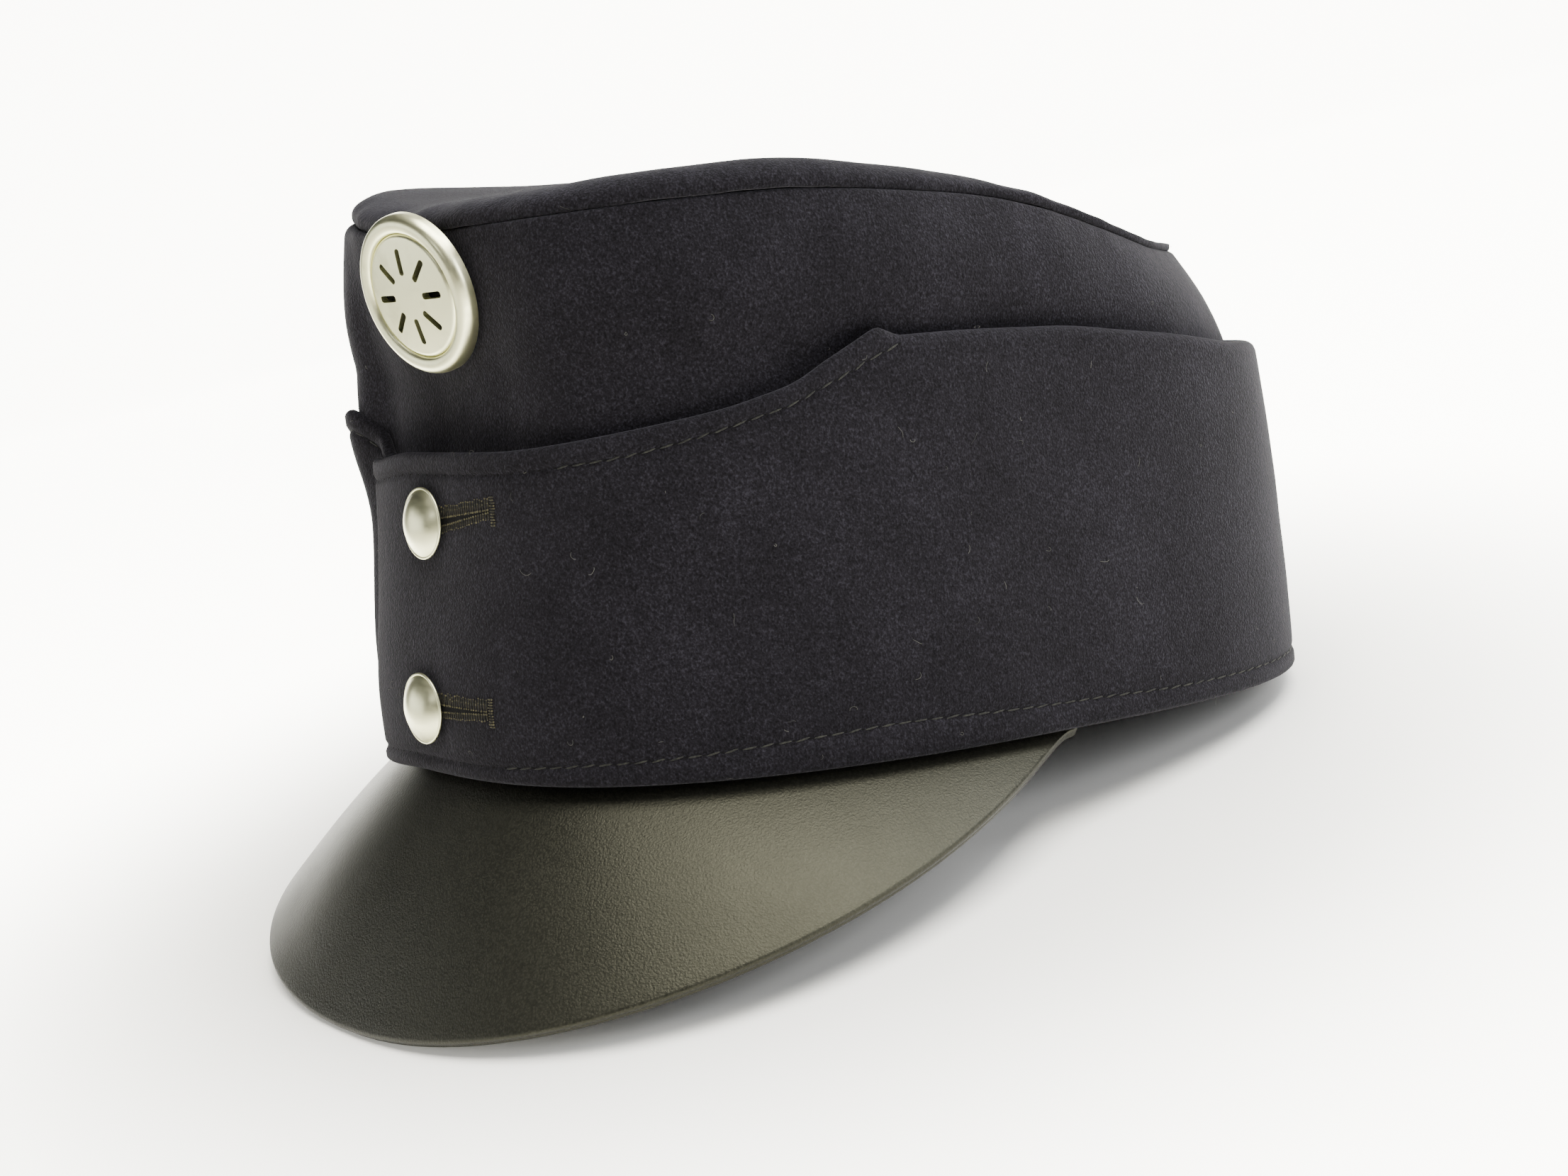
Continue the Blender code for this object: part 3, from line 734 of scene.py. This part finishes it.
def peakSection():
    # the leather's outline across its thickness: away from the edge and depth below the face
    upper, lower, thick = peak["upperRound"], peak["lowerRound"], peak["thickness"]
    face = [0.93, 0.86, 0.78, 0.7, 0.62, 0.54, 0.46, 0.38, 0.3, 0.23, 0.17, 0.12, 0.08, 0.05]
    edge = [(upper * (1 - sin(radians(a))), upper * (1 - cos(radians(a)))) for a in (0, 18, 36, 54, 72, 90)]
    ply, half = peak["plyShare"] * thick, peak["plyWidth"]
    edge += [(0.0, ply - half), (peak["plyGroove"], ply), (0.0, ply + half)]
    edge += [(lower * (1 - cos(radians(a))), thick - lower * (1 - sin(radians(a)))) for a in (0, 30, 60, 90)]
    back = [0.08, 0.2, 0.35, 0.5, 0.7, 0.86, 1.0]
    return face, edge, back


def peakStrip(share, section):
    # from under the rim out over the face, round the edge and back below
    face, edge, back = section
    turn = share * radians(peak["turn"])
    seat = peakSeat(turn)
    inside = crownBase(turn, 0.0, peak["margin"]) - Vector((0, 0, peak["gap"]))
    strip = [inside, seat.lerp(inside, 0.4), seat]
    strip += [peakPoint(share, 1.0 - away) for away in face]
    for away, depth in edge:
        out = 1.0 - min(away / max(peakReach(share), 1e-5), 1.0)
        strip.append(peakPoint(share, out) - peakNormal(share, max(out, 0.02)) * depth)
    for away in back:
        out = 1.0 - away
        below = peakNormal(share, max(out, 0.02)).lerp(Vector((0, 0, 1)), max(0.0, 0.5 - out))
        strip.append(peakPoint(share, out) - below * peak["thickness"])
    return strip + [inside - Vector((0, 0, peak["thickness"])), inside]


def buildPeak():
    section = peakSection()
    strips = [peakStrip(peak["endShare"] * sin(across * pi / 2), section)
              for across in spaced(-1.0, 1.0, peak["columns"] + 1)]
    rows = len(strips[0])
    mesh = bmesh.new()
    bmesh.ops.create_grid(mesh, x_segments=peak["columns"], y_segments=rows - 1, size=1.0)
    for v in mesh.verts:
        i, j = gridPlace(v, peak["columns"] + 1, rows)
        v.co = strips[i][j]
    bmesh.ops.remove_doubles(mesh, verts=mesh.verts, dist=2e-6)
    ends = [edge for edge in mesh.edges if edge.is_boundary]
    bmesh.ops.holes_fill(mesh, edges=ends, sides=0)
    bmesh.ops.recalc_face_normals(mesh, faces=mesh.faces)
    settle(mesh)
    return newPiece("peakLeather", mesh, peakHide)


crownSide = buildCrownSide()
crownTop = buildCrownTop()
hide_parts("crown_side")
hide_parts("crown_top")
print("crown made")
earFlap = buildFlap()
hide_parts("ear_flap")
print("ear flap made")
peakPiece = buildPeak()
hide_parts("peak")
print("peak made")


def beadShape():
    # one small rounded form, whose points and faces every thread repeats
    ball = bmesh.new()
    lying = Matrix.Rotation(pi / 2, 4, "Y")
    bmesh.ops.create_uvsphere(ball, u_segments=8, v_segments=6, radius=0.5, matrix=lying)
    corners = [v.co.copy() for v in ball.verts]
    faces = [[v.index for v in face.verts] for face in ball.faces]
    ball.free()
    return corners, faces


bead = beadShape()


def addBead(mesh, place, along, out, size):
    # a small rounded thread: long along one direction, low over the surface
    along = along.normalized()
    across = out.cross(along).normalized()
    made = [mesh.verts.new(place + along * c.x * size[0] + across * c.y * size[1] + out * c.z * size[2])
            for c in bead[0]]
    for face in bead[1]:
        mesh.faces.new([made[k] for k in face])


def hemLineAt(along):
    turn = turnAt(flapArc, along)
    return flapFace(turn, stitchLine(hemStitches, turn))


def topLineAt(along):
    turn = turnAt(flapArc, along)
    return flapFace(turn, flapTop(turn) - stitchLine(topStitches, turn))


def alongAt(turnDegrees):
    # the length from the over end to a turn
    turns, lengths = flapArc
    return lengths[min(bisect_right(turns, radians(turnDegrees)), len(lengths) - 1)]


stitch = {
    "pitch": 0.0038, "length": 0.0031, "width": 0.00042, "height": 0.00030, "sunk": 0.35, "slant": 7.0,
    "slantWander": 4.0, "hole": 0.00042, "holeDepth": 0.00012,
}
# edge, where the row starts and ends, and up to which turn its threads have sunk into the nap
stitchRows = [
    (hemLineAt, 0.0050, flapEnd - 0.0050, 13.0), (topLineAt, 0.0060, alongAt(75.0), 26.0),
    (topLineAt, alongAt(285.0), flapEnd - 0.0060, 0.0),
]


def buildStitches():
    threads, holes = bmesh.new(), bmesh.new()
    chance = random.Random(11)
    for lineAt, first, last, sunkTo in stitchRows:
        count = int((last - first) / stitch["pitch"])
        for middle in spaced(first, last, count + 1):
            start, stop = lineAt(middle - stitch["length"] / 2), lineAt(middle + stitch["length"] / 2)
            along = (stop - start).normalized()
            out = along.cross(Vector((0, 0, 1.0))).normalized()
            slant = radians(stitch["slant"] + chance.uniform(-1, 1) * stitch["slantWander"])
            along = (Matrix.Rotation(slant, 3, out) @ along).normalized()
            place = (start + stop) / 2 + out * stitch["height"] * stitch["sunk"]
            size = (stitch["length"] * chance.uniform(0.92, 1.05), stitch["width"], stitch["height"])
            if turnAt(flapArc, middle) > radians(sunkTo):
                addBead(threads, place, along, out, size)
            # painted shade: a dark flat bead at each needle hole stands for the shade in the hole
            hole = lineAt(middle + stitch["pitch"] / 2) + out * 0.00002
            addBead(holes, hole, along, out, (stitch["hole"] * 2.0, stitch["hole"], stitch["holeDepth"]))
    return (newPiece("seamStitches", threads, seamThread),
            newPiece("needleHoleShade", holes, shadowCloth))


def flapAt(x, z, away=0.0):
    # the flap's outer face at a side place and height near the front, and its direction
    low, high = radians(flap["overEnd"]), radians(60.0)
    for _ in range(30):
        middle = (low + high) / 2
        if flapFace(middle, z).x < x:
            low = middle
        else:
            high = middle
    top, aside, above = flapTop(low), 0.01, 0.002
    point = flapFace(low, z)
    across = flapSurface(low + aside, z, top - z, 0.02) - flapSurface(low - aside, z, top - z, 0.02)
    upward = flapSurface(low, z + above, top - z, 0.02) - flapSurface(low, z - above, top - z, 0.02)
    out = across.cross(upward).normalized()
    out = out if out.y < 0 else -out
    return point + out * away, out


buttonhole = {
    "ribPitch": 0.00078, "ribWidth": 0.00052, "ribHeight": 0.00042, "upperRib": 0.0026, "lowerRib": 0.0015,
    "lean": 0.12, "purl": 0.00046, "purlLift": 0.0001,
    "barAway": 0.0012, "barWidth": 0.0010, "barHeight": 0.0060, "barStep": 0.75, "barRib": (0.00052, 0.00036),
    "slitPast": 0.0006, "slitShare": 0.55, "slitLift": 0.00018, "slitSag": 0.00004,
}
holes = [
    # each end as (x, height), and half the slit's height at the button and at the far end
    {"start": (0.0040, 0.0155), "end": (0.0226, 0.0157), "wide": 0.0017, "narrow": 0.0004},
    {"start": (0.0040, 0.0556), "end": (0.0233, 0.0586), "wide": 0.0018, "narrow": 0.0004},
]


def slitAt(hole, share, past=0.0):
    # the middle of the slit at a share of its length, and half its height there
    (x0, z0), (x1, z1) = hole["start"], hole["end"]
    gape = hole["wide"] + (hole["narrow"] - hole["wide"]) * share
    return x0 + (x1 + past - x0) * share, z0 + (z1 - z0) * share, gape


def addRibs(ribs, purls, hole, chance):
    # overcast stitches above and below the slit
    count = int((hole["end"][0] - hole["start"][0]) / buttonhole["ribPitch"])
    for i in range(count + 1):
        x, z, gape = slitAt(hole, i / count)
        for side, length in ((1, buttonhole["upperRib"]), (-1, buttonhole["lowerRib"])):
            length *= chance.uniform(0.85, 1.12)
            lean = chance.uniform(-buttonhole["lean"], buttonhole["lean"])
            place, out = flapAt(x, z + side * (gape + length) / 2, 0.00005)
            above = Vector((lean, 0.0, 1.0))
            above = (above - out * above.dot(out)).normalized()
            addBead(ribs, place, above, out, (length, buttonhole["ribWidth"], buttonhole["ribHeight"]))
            # knots at the slit and where the rib goes into the cloth, and on long ribs one between
            knots = [(-0.5 * side, 1.0), (0.1 * side, 0.7), (0.5 * side, 0.8)]
            for edge, size in knots if side > 0 else knots[::2]:
                knot = place + above * length * edge * 0.92 + out * buttonhole["purlLift"]
                addBead(purls, knot, above, out, (buttonhole["purl"] * size * chance.uniform(0.7, 1.15),) * 3)


def addBar(ribs, purls, hole, chance):
    # the bar that closes the hole's far end
    x, z = hole["end"]
    width, height = buttonhole["barWidth"], buttonhole["barHeight"]
    steps = int(height / (buttonhole["barStep"] * buttonhole["ribPitch"]))
    for i in range(steps + 1):
        wander = chance.uniform(-0.0001, 0.0001)
        place, out = flapAt(x + buttonhole["barAway"] + wander, z + height * (i / steps - 0.5), 0.00008)
        aside = out.cross(Vector((0, 0, 1.0))).normalized()
        for part in (-0.5, 0.0, 0.5):
            knot = place + aside * width * (part + chance.uniform(-0.15, 0.15))
            wide = buttonhole["purl"] * chance.uniform(0.5, 1.1)
            addBead(purls, knot, aside, out, (wide, wide, buttonhole["ribHeight"]))
        addBead(ribs, place, aside, out, (width * 1.5, *buttonhole["barRib"]))


def addSlitShade(slitShades, hole):
    # painted shade: a dark tapering sheet between the rows of ribs, where the slit's gap lies in shade
    for v in bmesh.ops.create_grid(slitShades, x_segments=16, y_segments=2, size=1.0)["verts"]:
        side = v.co.y
        x, z, gape = slitAt(hole, (v.co.x + 1) / 2, buttonhole["slitPast"])
        lift = buttonhole["slitLift"] - buttonhole["slitSag"] * abs(side)
        v.co = flapAt(x, z + side * gape * buttonhole["slitShare"], lift)[0]


def buildButtonholes():
    ribs, purls, slitShades = bmesh.new(), bmesh.new(), bmesh.new()
    chance = random.Random(23)
    for hole in holes:
        addRibs(ribs, purls, hole, chance)
        addBar(ribs, purls, hole, chance)
        addSlitShade(slitShades, hole)
    return (newPiece("buttonholeRibs", ribs, holeThread),
            newPiece("buttonholePurls", purls, purlThread),
            newPiece("buttonholeSlitShade", slitShades, shadowCloth))


button = {
    "radius": 0.0080, "dome": 0.0030, "edge": 0.0012, "rim": 0.00034, "groove": 0.00010, "segments": 96,
    "shankRadius": 0.0015, "shankLength": 0.0024, "heights": {"button_lower": 0.0150, "button_upper": 0.0556},
}


def nodeSeat(name, turned):
    # where a disc-shaped node's back lies, from the node's own corners seen along its axis
    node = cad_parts[name]
    back = (capPose.to_3x3() @ turned).transposed()
    corners = [back @ (node.matrix_world @ v.co) for v in node.data.vertices]
    low = [min(c[k] for c in corners) for k in range(3)]
    high = [max(c[k] for c in corners) for k in range(3)]
    middle = Vector(((low[0] + high[0]) / 2, (low[1] + high[1]) / 2, high[2]))
    return capPose.inverted() @ (back.transposed() @ middle)


def spun(name, profile, segments, surface, place, turned):
    # turned about its own axis from points (radius, height), highest at height 0
    mesh = bmesh.new()
    corners = [mesh.verts.new((r, 0.0, h)) for r, h in profile]
    line = [mesh.edges.new(pair) for pair in zip(corners, corners[1:])]
    bmesh.ops.spin(mesh, geom=corners + line, cent=(0, 0, 0), axis=(0, 0, 1), angle=2 * pi,
                   steps=segments, use_merge=True)
    bmesh.ops.remove_doubles(mesh, verts=mesh.verts, dist=1e-6)
    bmesh.ops.recalc_face_normals(mesh, faces=mesh.faces)
    bmesh.ops.transform(mesh, matrix=Matrix.Translation(place) @ turned.to_4x4(), verts=mesh.verts)
    return newPiece(name, mesh, surface, 35.0)


def domed(radius, rise, base, steps):
    # a shallow dome's outline from its middle out
    ball = (radius * radius + rise * rise) / (2.0 * rise)
    return [(radius * i / steps, base + sqrt(ball * ball - (radius * i / steps) ** 2) - ball + rise)
            for i in range(steps + 1)]


def frontFacing(height):
    # turned square to the flap's front at a height
    low, high = flapPoint(0.0, height - 0.006, 0.0), flapPoint(0.0, height + 0.006, 0.0)
    along = (high - low).normalized()
    return Vector((0.0, -along.z, along.y)).to_track_quat("Z", "Y").to_matrix()


def buttonOutline():
    # a dome in a fine groove, a rolled rim and a shank behind
    out, rim = button["radius"], button["rim"]
    inner = out - 2 * rim
    top = button["dome"] + button["edge"]
    dome = domed(inner, button["dome"] - 0.4 * rim, button["edge"] + 0.4 * rim, 22)
    outline = [(r, h - top) for r, h in dome]
    level = outline[-1][1]
    outline += [(inner + 0.3 * rim, level - button["groove"])]
    for a in range(-60, 181, 20):
        outline.append((out - rim + rim * sin(radians(a)), level - rim + rim * cos(radians(a))))
    shank, back, end = button["shankRadius"], level - 2 * rim, -top - button["shankLength"]
    return outline + [(out - 1.6 * rim, back), (shank, back), (shank, end), (0.0, end)]


def buildButtons():
    for name, height in button["heights"].items():
        turned = frontFacing(height)
        piece = spun(name.replace("button_", "domedButton_"), buttonOutline(), button["segments"], satinMetal,
                     nodeSeat(name, turned), turned)
        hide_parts(name)


badge = {
    "radius": 0.01775, "rim": 0.0040, "depth": 0.0026, "dome": 0.0011, "metal": 0.0008, "crest": 0.0010,
    "step": 0.0012, "tilt": 14.5, "turn": 7.0, "slots": 8, "slotWidth": 0.00150, "slotReach": 0.42,
    "slotMiddle": 0.56, "slotRound": 0.42, "segments": 160,
}
badgeFace = badge["radius"] - badge["rim"]  # the pierced disc's radius inside the rim


def cutOut(piece, cutter):
    # the cutter's shape is taken from the piece, whose cut mesh is kept
    change = piece.modifiers.new("slots", "BOOLEAN")
    change.operation = "DIFFERENCE"
    change.object = cutter
    bpy.context.view_layer.update()
    cutMesh = bpy.data.meshes.new_from_object(piece.evaluated_get(bpy.context.evaluated_depsgraph_get()))
    piece.modifiers.clear()
    piece.data = cutMesh
    cutMesh.shade_smooth()
    cutMesh.set_sharp_from_angle(angle=radians(35.0))
    bpy.data.objects.remove(cutter, do_unlink=True)


def badgeOutline():
    # a cushioned disc inside a step, and a broad rounded rim that turns down at its edge
    out, rim, lip, step = badge["radius"], badge["rim"], badge["depth"], badge["step"]
    outline = domed(badgeFace - step, badge["dome"] - 0.0003, lip + 0.0006, 18)
    edge = outline[-1][1]
    for a in (15, 35, 55, 75, 90):
        outline.append((badgeFace - step + step * sin(radians(a)), edge - step * (1 - cos(radians(a))) * 0.9))
    outline += [(badgeFace - 0.00005, lip - 0.0002)]
    middle, half = badgeFace + 0.46 * rim, 0.54 * rim
    for a in range(-75, 91, 11):
        away, drop = sin(radians(a)), 1 - cos(radians(a))
        height = lip + badge["crest"] - drop * (badge["crest"] if a < 0 else lip * 0.9)
        outline.append((middle + half * away * (0.82 if a < 0 else 1.0), height))
    back = lip - badge["metal"]
    outline += [(out, 0.0), (out - badge["metal"] * 0.6, 0.0), (out - rim * 0.6, back), (0.0, back + 0.0004)]
    top = max(h for r, h in outline)
    return [(r, h - top) for r, h in outline]


def slotShapes():
    # round-ended bars like the spokes of a wheel
    bar = bmesh.new()
    bmesh.ops.create_cube(bar, size=1.0)
    bmesh.ops.scale(bar, vec=(badge["slotReach"] * badgeFace, badge["slotWidth"], 0.02), verts=bar.verts)
    upright = [e for e in bar.edges if abs(e.verts[0].co.z - e.verts[1].co.z) > 0.01]
    bmesh.ops.bevel(bar, geom=upright, offset=badge["slotRound"] * badge["slotWidth"], segments=4,
                    affect="EDGES", profile=0.5, material=-1)
    bmesh.ops.translate(bar, vec=(badge["slotMiddle"] * badgeFace, 0.0, 0.0), verts=bar.verts)
    barMesh = bpy.data.meshes.new("slotBar")
    cutter = bmesh.new()
    step = Matrix.Rotation(2 * pi / badge["slots"], 3, "Z")
    for _ in range(badge["slots"]):
        bmesh.ops.rotate(bar, cent=(0, 0, 0), matrix=step, verts=bar.verts)
        bar.to_mesh(barMesh)
        cutter.from_mesh(barMesh)
    bar.free()
    return cutter


def buildBadge():
    turned = Euler((radians(90.0 + badge["tilt"]), 0.0, radians(badge["turn"]))).to_matrix()
    seat = nodeSeat("badge_face", turned)
    disc = spun("badgeDisc", badgeOutline(), badge["segments"], satinMetal, seat, turned)
    cutter = slotShapes()
    bmesh.ops.transform(cutter, matrix=Matrix.Translation(seat) @ turned.to_4x4(), verts=cutter.verts)
    cutOut(disc, newPiece("slotShapes", cutter, satinMetal))
    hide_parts("badge_face")


threads = [*buildStitches(), *buildButtonholes()]
buildButtons()
buildBadge()
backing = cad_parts["badge_backing"]
backing.data.materials.clear()
backing.data.materials.append(darkPlate)
print("stitches, buttons and badge made")


nap = {
    "length": (0.0003, 0.0007), "width": 0.00004, "taper": (0.8, 0.25), "lift": (12.0, 55.0),
    "lay": (0.25, 0.15, -0.6), "wander": 1.4,
    "share": {"earFlapCloth": 26000, "crownSideCloth": 9000, "crownTopCloth": 9000},
}
lint = {
    "length": (0.0010, 0.0040), "shortest": 0.4, "width": 0.00007, "curl": 0.34, "waver": 0.12,
    "lift": 0.0004, "clear": 0.00015, "steps": 9,
    "share": {"earFlapCloth": 150, "crownSideCloth": 60, "crownTopCloth": 30},
}
capMiddle = Vector((0, 0.01, 0.07))


def outerFaces(piece):
    # faces that look away from the cap's middle, and their areas
    found = [face for face in piece.data.polygons if face.normal.dot(face.center - capMiddle) > 0.0]
    return found, [face.area for face in found]


def onFace(face, corners, a, b):
    # a place on a face with three or four corners
    ring = [corners[k].co for k in face.vertices]
    return ring[0].lerp(ring[1], a).lerp(ring[-1].lerp(ring[2 if len(ring) > 3 else -1], a), b)


def buildNap(pieces):
    # short flat fibres, bent once and tapering
    chance = random.Random(5)
    fibres = bmesh.new()
    for piece in pieces:
        found, areas = outerFaces(piece)
        for face in chance.choices(found, weights=areas, k=nap["share"][piece.name]):
            root = onFace(face, piece.data.vertices, chance.random(), chance.random())
            normal = face.normal
            lay = Vector(nap["lay"]) + Vector([chance.gauss(0, nap["wander"]) for _ in range(3)])
            lay = (lay - normal * lay.dot(normal)).normalized()
            lift = radians(chance.uniform(*nap["lift"]))
            half = chance.uniform(*nap["length"]) / 2
            across = normal.cross(lay) * nap["width"] / 2
            middle = root + (lay * cos(lift) + normal * sin(lift)) * half
            tip = middle + (lay * cos(lift * 0.4) + normal * sin(lift * 0.4)) * half
            rungs = [(root, 1.0), (middle, nap["taper"][0]), (tip, nap["taper"][1])]
            row = [fibres.verts.new(p + across * wide * side) for p, wide in rungs for side in (-1, 1)]
            fibres.faces.new((row[0], row[1], row[3], row[2]))
            fibres.faces.new((row[2], row[3], row[5], row[4]))
    return fibres


def buildLint(pieces):
    # a few loose curls that arch over the nap
    chance = random.Random(31)
    curls = bmesh.new()
    for piece in pieces:
        found, areas = outerFaces(piece)
        for face in chance.choices(found, weights=areas, k=lint["share"][piece.name]):
            place, normal = face.center + face.normal * lint["clear"], face.normal.copy()
            heading = normal.cross(Vector([chance.gauss(0, 1) for _ in range(3)])).normalized()
            bend = chance.gauss(0, 1) * lint["curl"]
            length = chance.uniform(*lint["length"]) * chance.uniform(lint["shortest"], 1.0)
            before = None
            for step in range(lint["steps"] + 1):
                rise = lint["lift"] * sin(pi * step / lint["steps"])
                across = normal.cross(heading).normalized() * lint["width"] / 2
                pair = [curls.verts.new(place + normal * rise + across * sign) for sign in (-1, 1)]
                if before:
                    curls.faces.new((before[0], before[1], pair[1], pair[0]))
                before = pair
                turn = Matrix.Rotation(bend + chance.gauss(0, lint["waver"]), 3, normal)
                heading = (turn @ heading).normalized()
                place = place + heading * length / lint["steps"]
    return curls


def asIs(name, mesh, surface):
    # a piece whose points are already in the world
    bmesh.ops.transform(mesh, matrix=capPose.inverted(), verts=mesh.verts)
    return newPiece(name, mesh, surface)


cloths = [earFlap, crownSide, crownTop]
woolNap = asIs("woolNap", buildNap(cloths), napFibre)
lintCurls = asIs("lintCurls", buildLint(cloths), lintFibre)
print("nap made")


# the photograph's view of the cap, in the cap's own frame, and its focal length in pixels
view = {
    "place": (0.4332562, -0.3475592, 0.0982228), "right": (0.6213, 0.7801, -0.0737),
    "up": (-0.0544, 0.1367, 0.9891), "ahead": (-0.7817, 0.6106, -0.1274), "focal": 3149.84,
    "imageWidth": 2212, "sensor": 36.0,
}


studio = {
    "reach": 1.80, "wallAway": 1.25, "wallRise": 1.5, "wallSteep": 1.5, "paper": (0.90, 0.885, 0.83, 1.0),
    # the painted glow on the table, a pool of light: how bright, how far from the cap, and its two sides
    "glow": 9.0, "glowColour": (1.0, 0.985, 0.90, 1.0), "glowFrom": 0.11, "glowTo": 0.31,
    "litFoot": (0.4333, -0.3052, 0.0), "litAhead": (-0.8069, 0.5907, 0.0), "litAside": (0.5907, 0.8069, 0.0),
    "litSlope": (0.42, 0.62), "litNear": (0.16, 0.28),
    "world": (0.95, 1.0, 1.1, 1.0), "worldStrength": 0.07,
    # a dim wall before the cap, for its metal to reflect
    "card": {"place": (-1.05, -1.35, 0.40), "width": 1.5, "height": 0.75, "paper": (0.4, 0.4, 0.4, 1.0),
             "colour": (0.93, 0.96, 1.0, 1.0), "glow": 1.7},
    "lights": [
        # name, place, what it faces, width, height, power, colour
        ("rearWindow", (0.35, 1.0, 1.10), (0.0, 0.0, 0.08), 1.0, 0.8, 23.0, (0.92, 0.95, 1.0)),
        ("sideWindow", (1.25, 0.45, 0.55), (0.0, 0.0, 0.08), 0.7, 0.7, 17.0, (0.93, 0.95, 1.0)),
        ("ceiling", (0.30, 0.12, 1.28), (0.0, 0.0, 0.0), 1.1, 1.1, 56.0, (1.0, 0.985, 0.94)),
        ("frontWindow", (0.33, -1.45, 0.98), (0.0, -0.1, 0.1), 0.22, 0.34, 1.6, (1.0, 1.0, 1.0)),
    ],
}


def stagePlane(name, mesh, surface):
    made = bpy.data.meshes.new(name)
    mesh.to_mesh(made)
    mesh.free()
    made.shade_smooth()
    made.materials.append(surface)
    plane = bpy.data.objects.new(name, made)
    bpy.context.scene.collection.objects.link(plane)


def paintTableGlow(tree, shader):
    # painted light: the table glows where daylight would lie on it behind the cap, so the cap's front stays
    # in the shade
    place = addNode(tree, "ShaderNodeTexCoord").outputs["Object"]
    distance = addNode(tree, "ShaderNodeVectorMath", operation="LENGTH")
    tree.links.new(place, distance.inputs[0])
    start, stop = studio["glowFrom"], studio["glowTo"]
    glow = addRange(tree, distance.outputs["Value"], start, stop, 0.0, studio["glow"], "SMOOTHSTEP")
    past = addNode(tree, "ShaderNodeVectorMath", {1: studio["litFoot"]}, operation="SUBTRACT")
    tree.links.new(place, past.inputs[0])
    spans = []
    for way in ("litAhead", "litAside"):
        span = addNode(tree, "ShaderNodeVectorMath", {1: studio[way]}, operation="DOT_PRODUCT")
        tree.links.new(past.outputs["Vector"], span.inputs[0])
        spans.append(span.outputs["Value"])
    ahead = addMath(tree, "MAXIMUM", spans[0], 0.02)
    slope = addMath(tree, "DIVIDE", addMath(tree, "ABSOLUTE", spans[1], 0.0), ahead)
    sides = addRange(tree, slope, *studio["litSlope"], 1.0, 0.0)
    lit = addMath(tree, "MULTIPLY", sides, addRange(tree, ahead, *studio["litNear"]))
    tree.links.new(addMath(tree, "MULTIPLY", glow, lit), shader.inputs["Emission Strength"])


def buildTable():
    # a pale table with a low sweep that rises behind the cap, with a painted glow of light on it
    mesh = bmesh.new()
    bmesh.ops.create_grid(mesh, x_segments=80, y_segments=80, size=studio["reach"])
    ahead = Vector((view["ahead"][0], view["ahead"][1], 0.0)).normalized()
    for v in mesh.verts:
        away = max(v.co.dot(ahead) - studio["wallAway"], 0.0)
        v.co.z = studio["wallRise"] * away ** studio["wallSteep"]
    paper, tree, shader = newMaterial("glowingPaleTable", {
        "Base Color": studio["paper"], "Roughness": 0.75, "Specular IOR Level": 0.2,
        "Emission Color": studio["glowColour"]})
    paintTableGlow(tree, shader)
    stagePlane("glowingPaleTable", mesh, paper)


def buildCard():
    card = studio["card"]
    sheet = bmesh.new()
    bmesh.ops.create_grid(sheet, x_segments=1, y_segments=1, size=0.5)
    bmesh.ops.scale(sheet, vec=(card["width"], card["height"], 1.0), verts=sheet.verts)
    facing = (-Vector(card["place"])).to_track_quat("Z", "Y").to_matrix().to_4x4()
    bmesh.ops.transform(sheet, matrix=Matrix.Translation(card["place"]) @ facing, verts=sheet.verts)
    paper = newMaterial("paleCard", {
        "Base Color": card["paper"], "Emission Color": card["colour"], "Emission Strength": card["glow"]})[0]
    stagePlane("frontCard", sheet, paper)


def buildLights():
    world = bpy.data.worlds.new("studio")
    world.use_nodes = True
    sky = world.node_tree.nodes["Background"]
    sky.inputs["Color"].default_value = studio["world"]
    sky.inputs["Strength"].default_value = studio["worldStrength"]
    bpy.context.scene.world = world
    for name, place, target, width, height, power, colour in studio["lights"]:
        lamp = bpy.data.lights.new(name, "AREA")
        lamp.shape = "RECTANGLE"
        lamp.size, lamp.size_y = width, height
        lamp.energy = power
        lamp.color = colour
        holder = bpy.data.objects.new(name, lamp)
        holder.location = place
        holder.rotation_euler = (Vector(place) - Vector(target)).to_track_quat("Z", "Y").to_euler()
        bpy.context.scene.collection.objects.link(holder)


def buildCamera():
    right, up, back = Vector(view["right"]), Vector(view["up"]), -Vector(view["ahead"])
    seen = Matrix((right, up, back)).transposed().to_4x4()
    seen.translation = Vector(view["place"])
    lens = bpy.data.cameras.new("camera")
    lens.sensor_width = view["sensor"]
    lens.lens = view["focal"] * view["sensor"] / view["imageWidth"]
    lens.clip_start = 0.01
    camera = bpy.data.objects.new("camera", lens)
    camera.matrix_world = capPose @ seen
    bpy.context.scene.collection.objects.link(camera)
    bpy.context.scene.camera = camera


buildTable()
buildCard()
buildLights()
buildCamera()
print("studio and camera made")
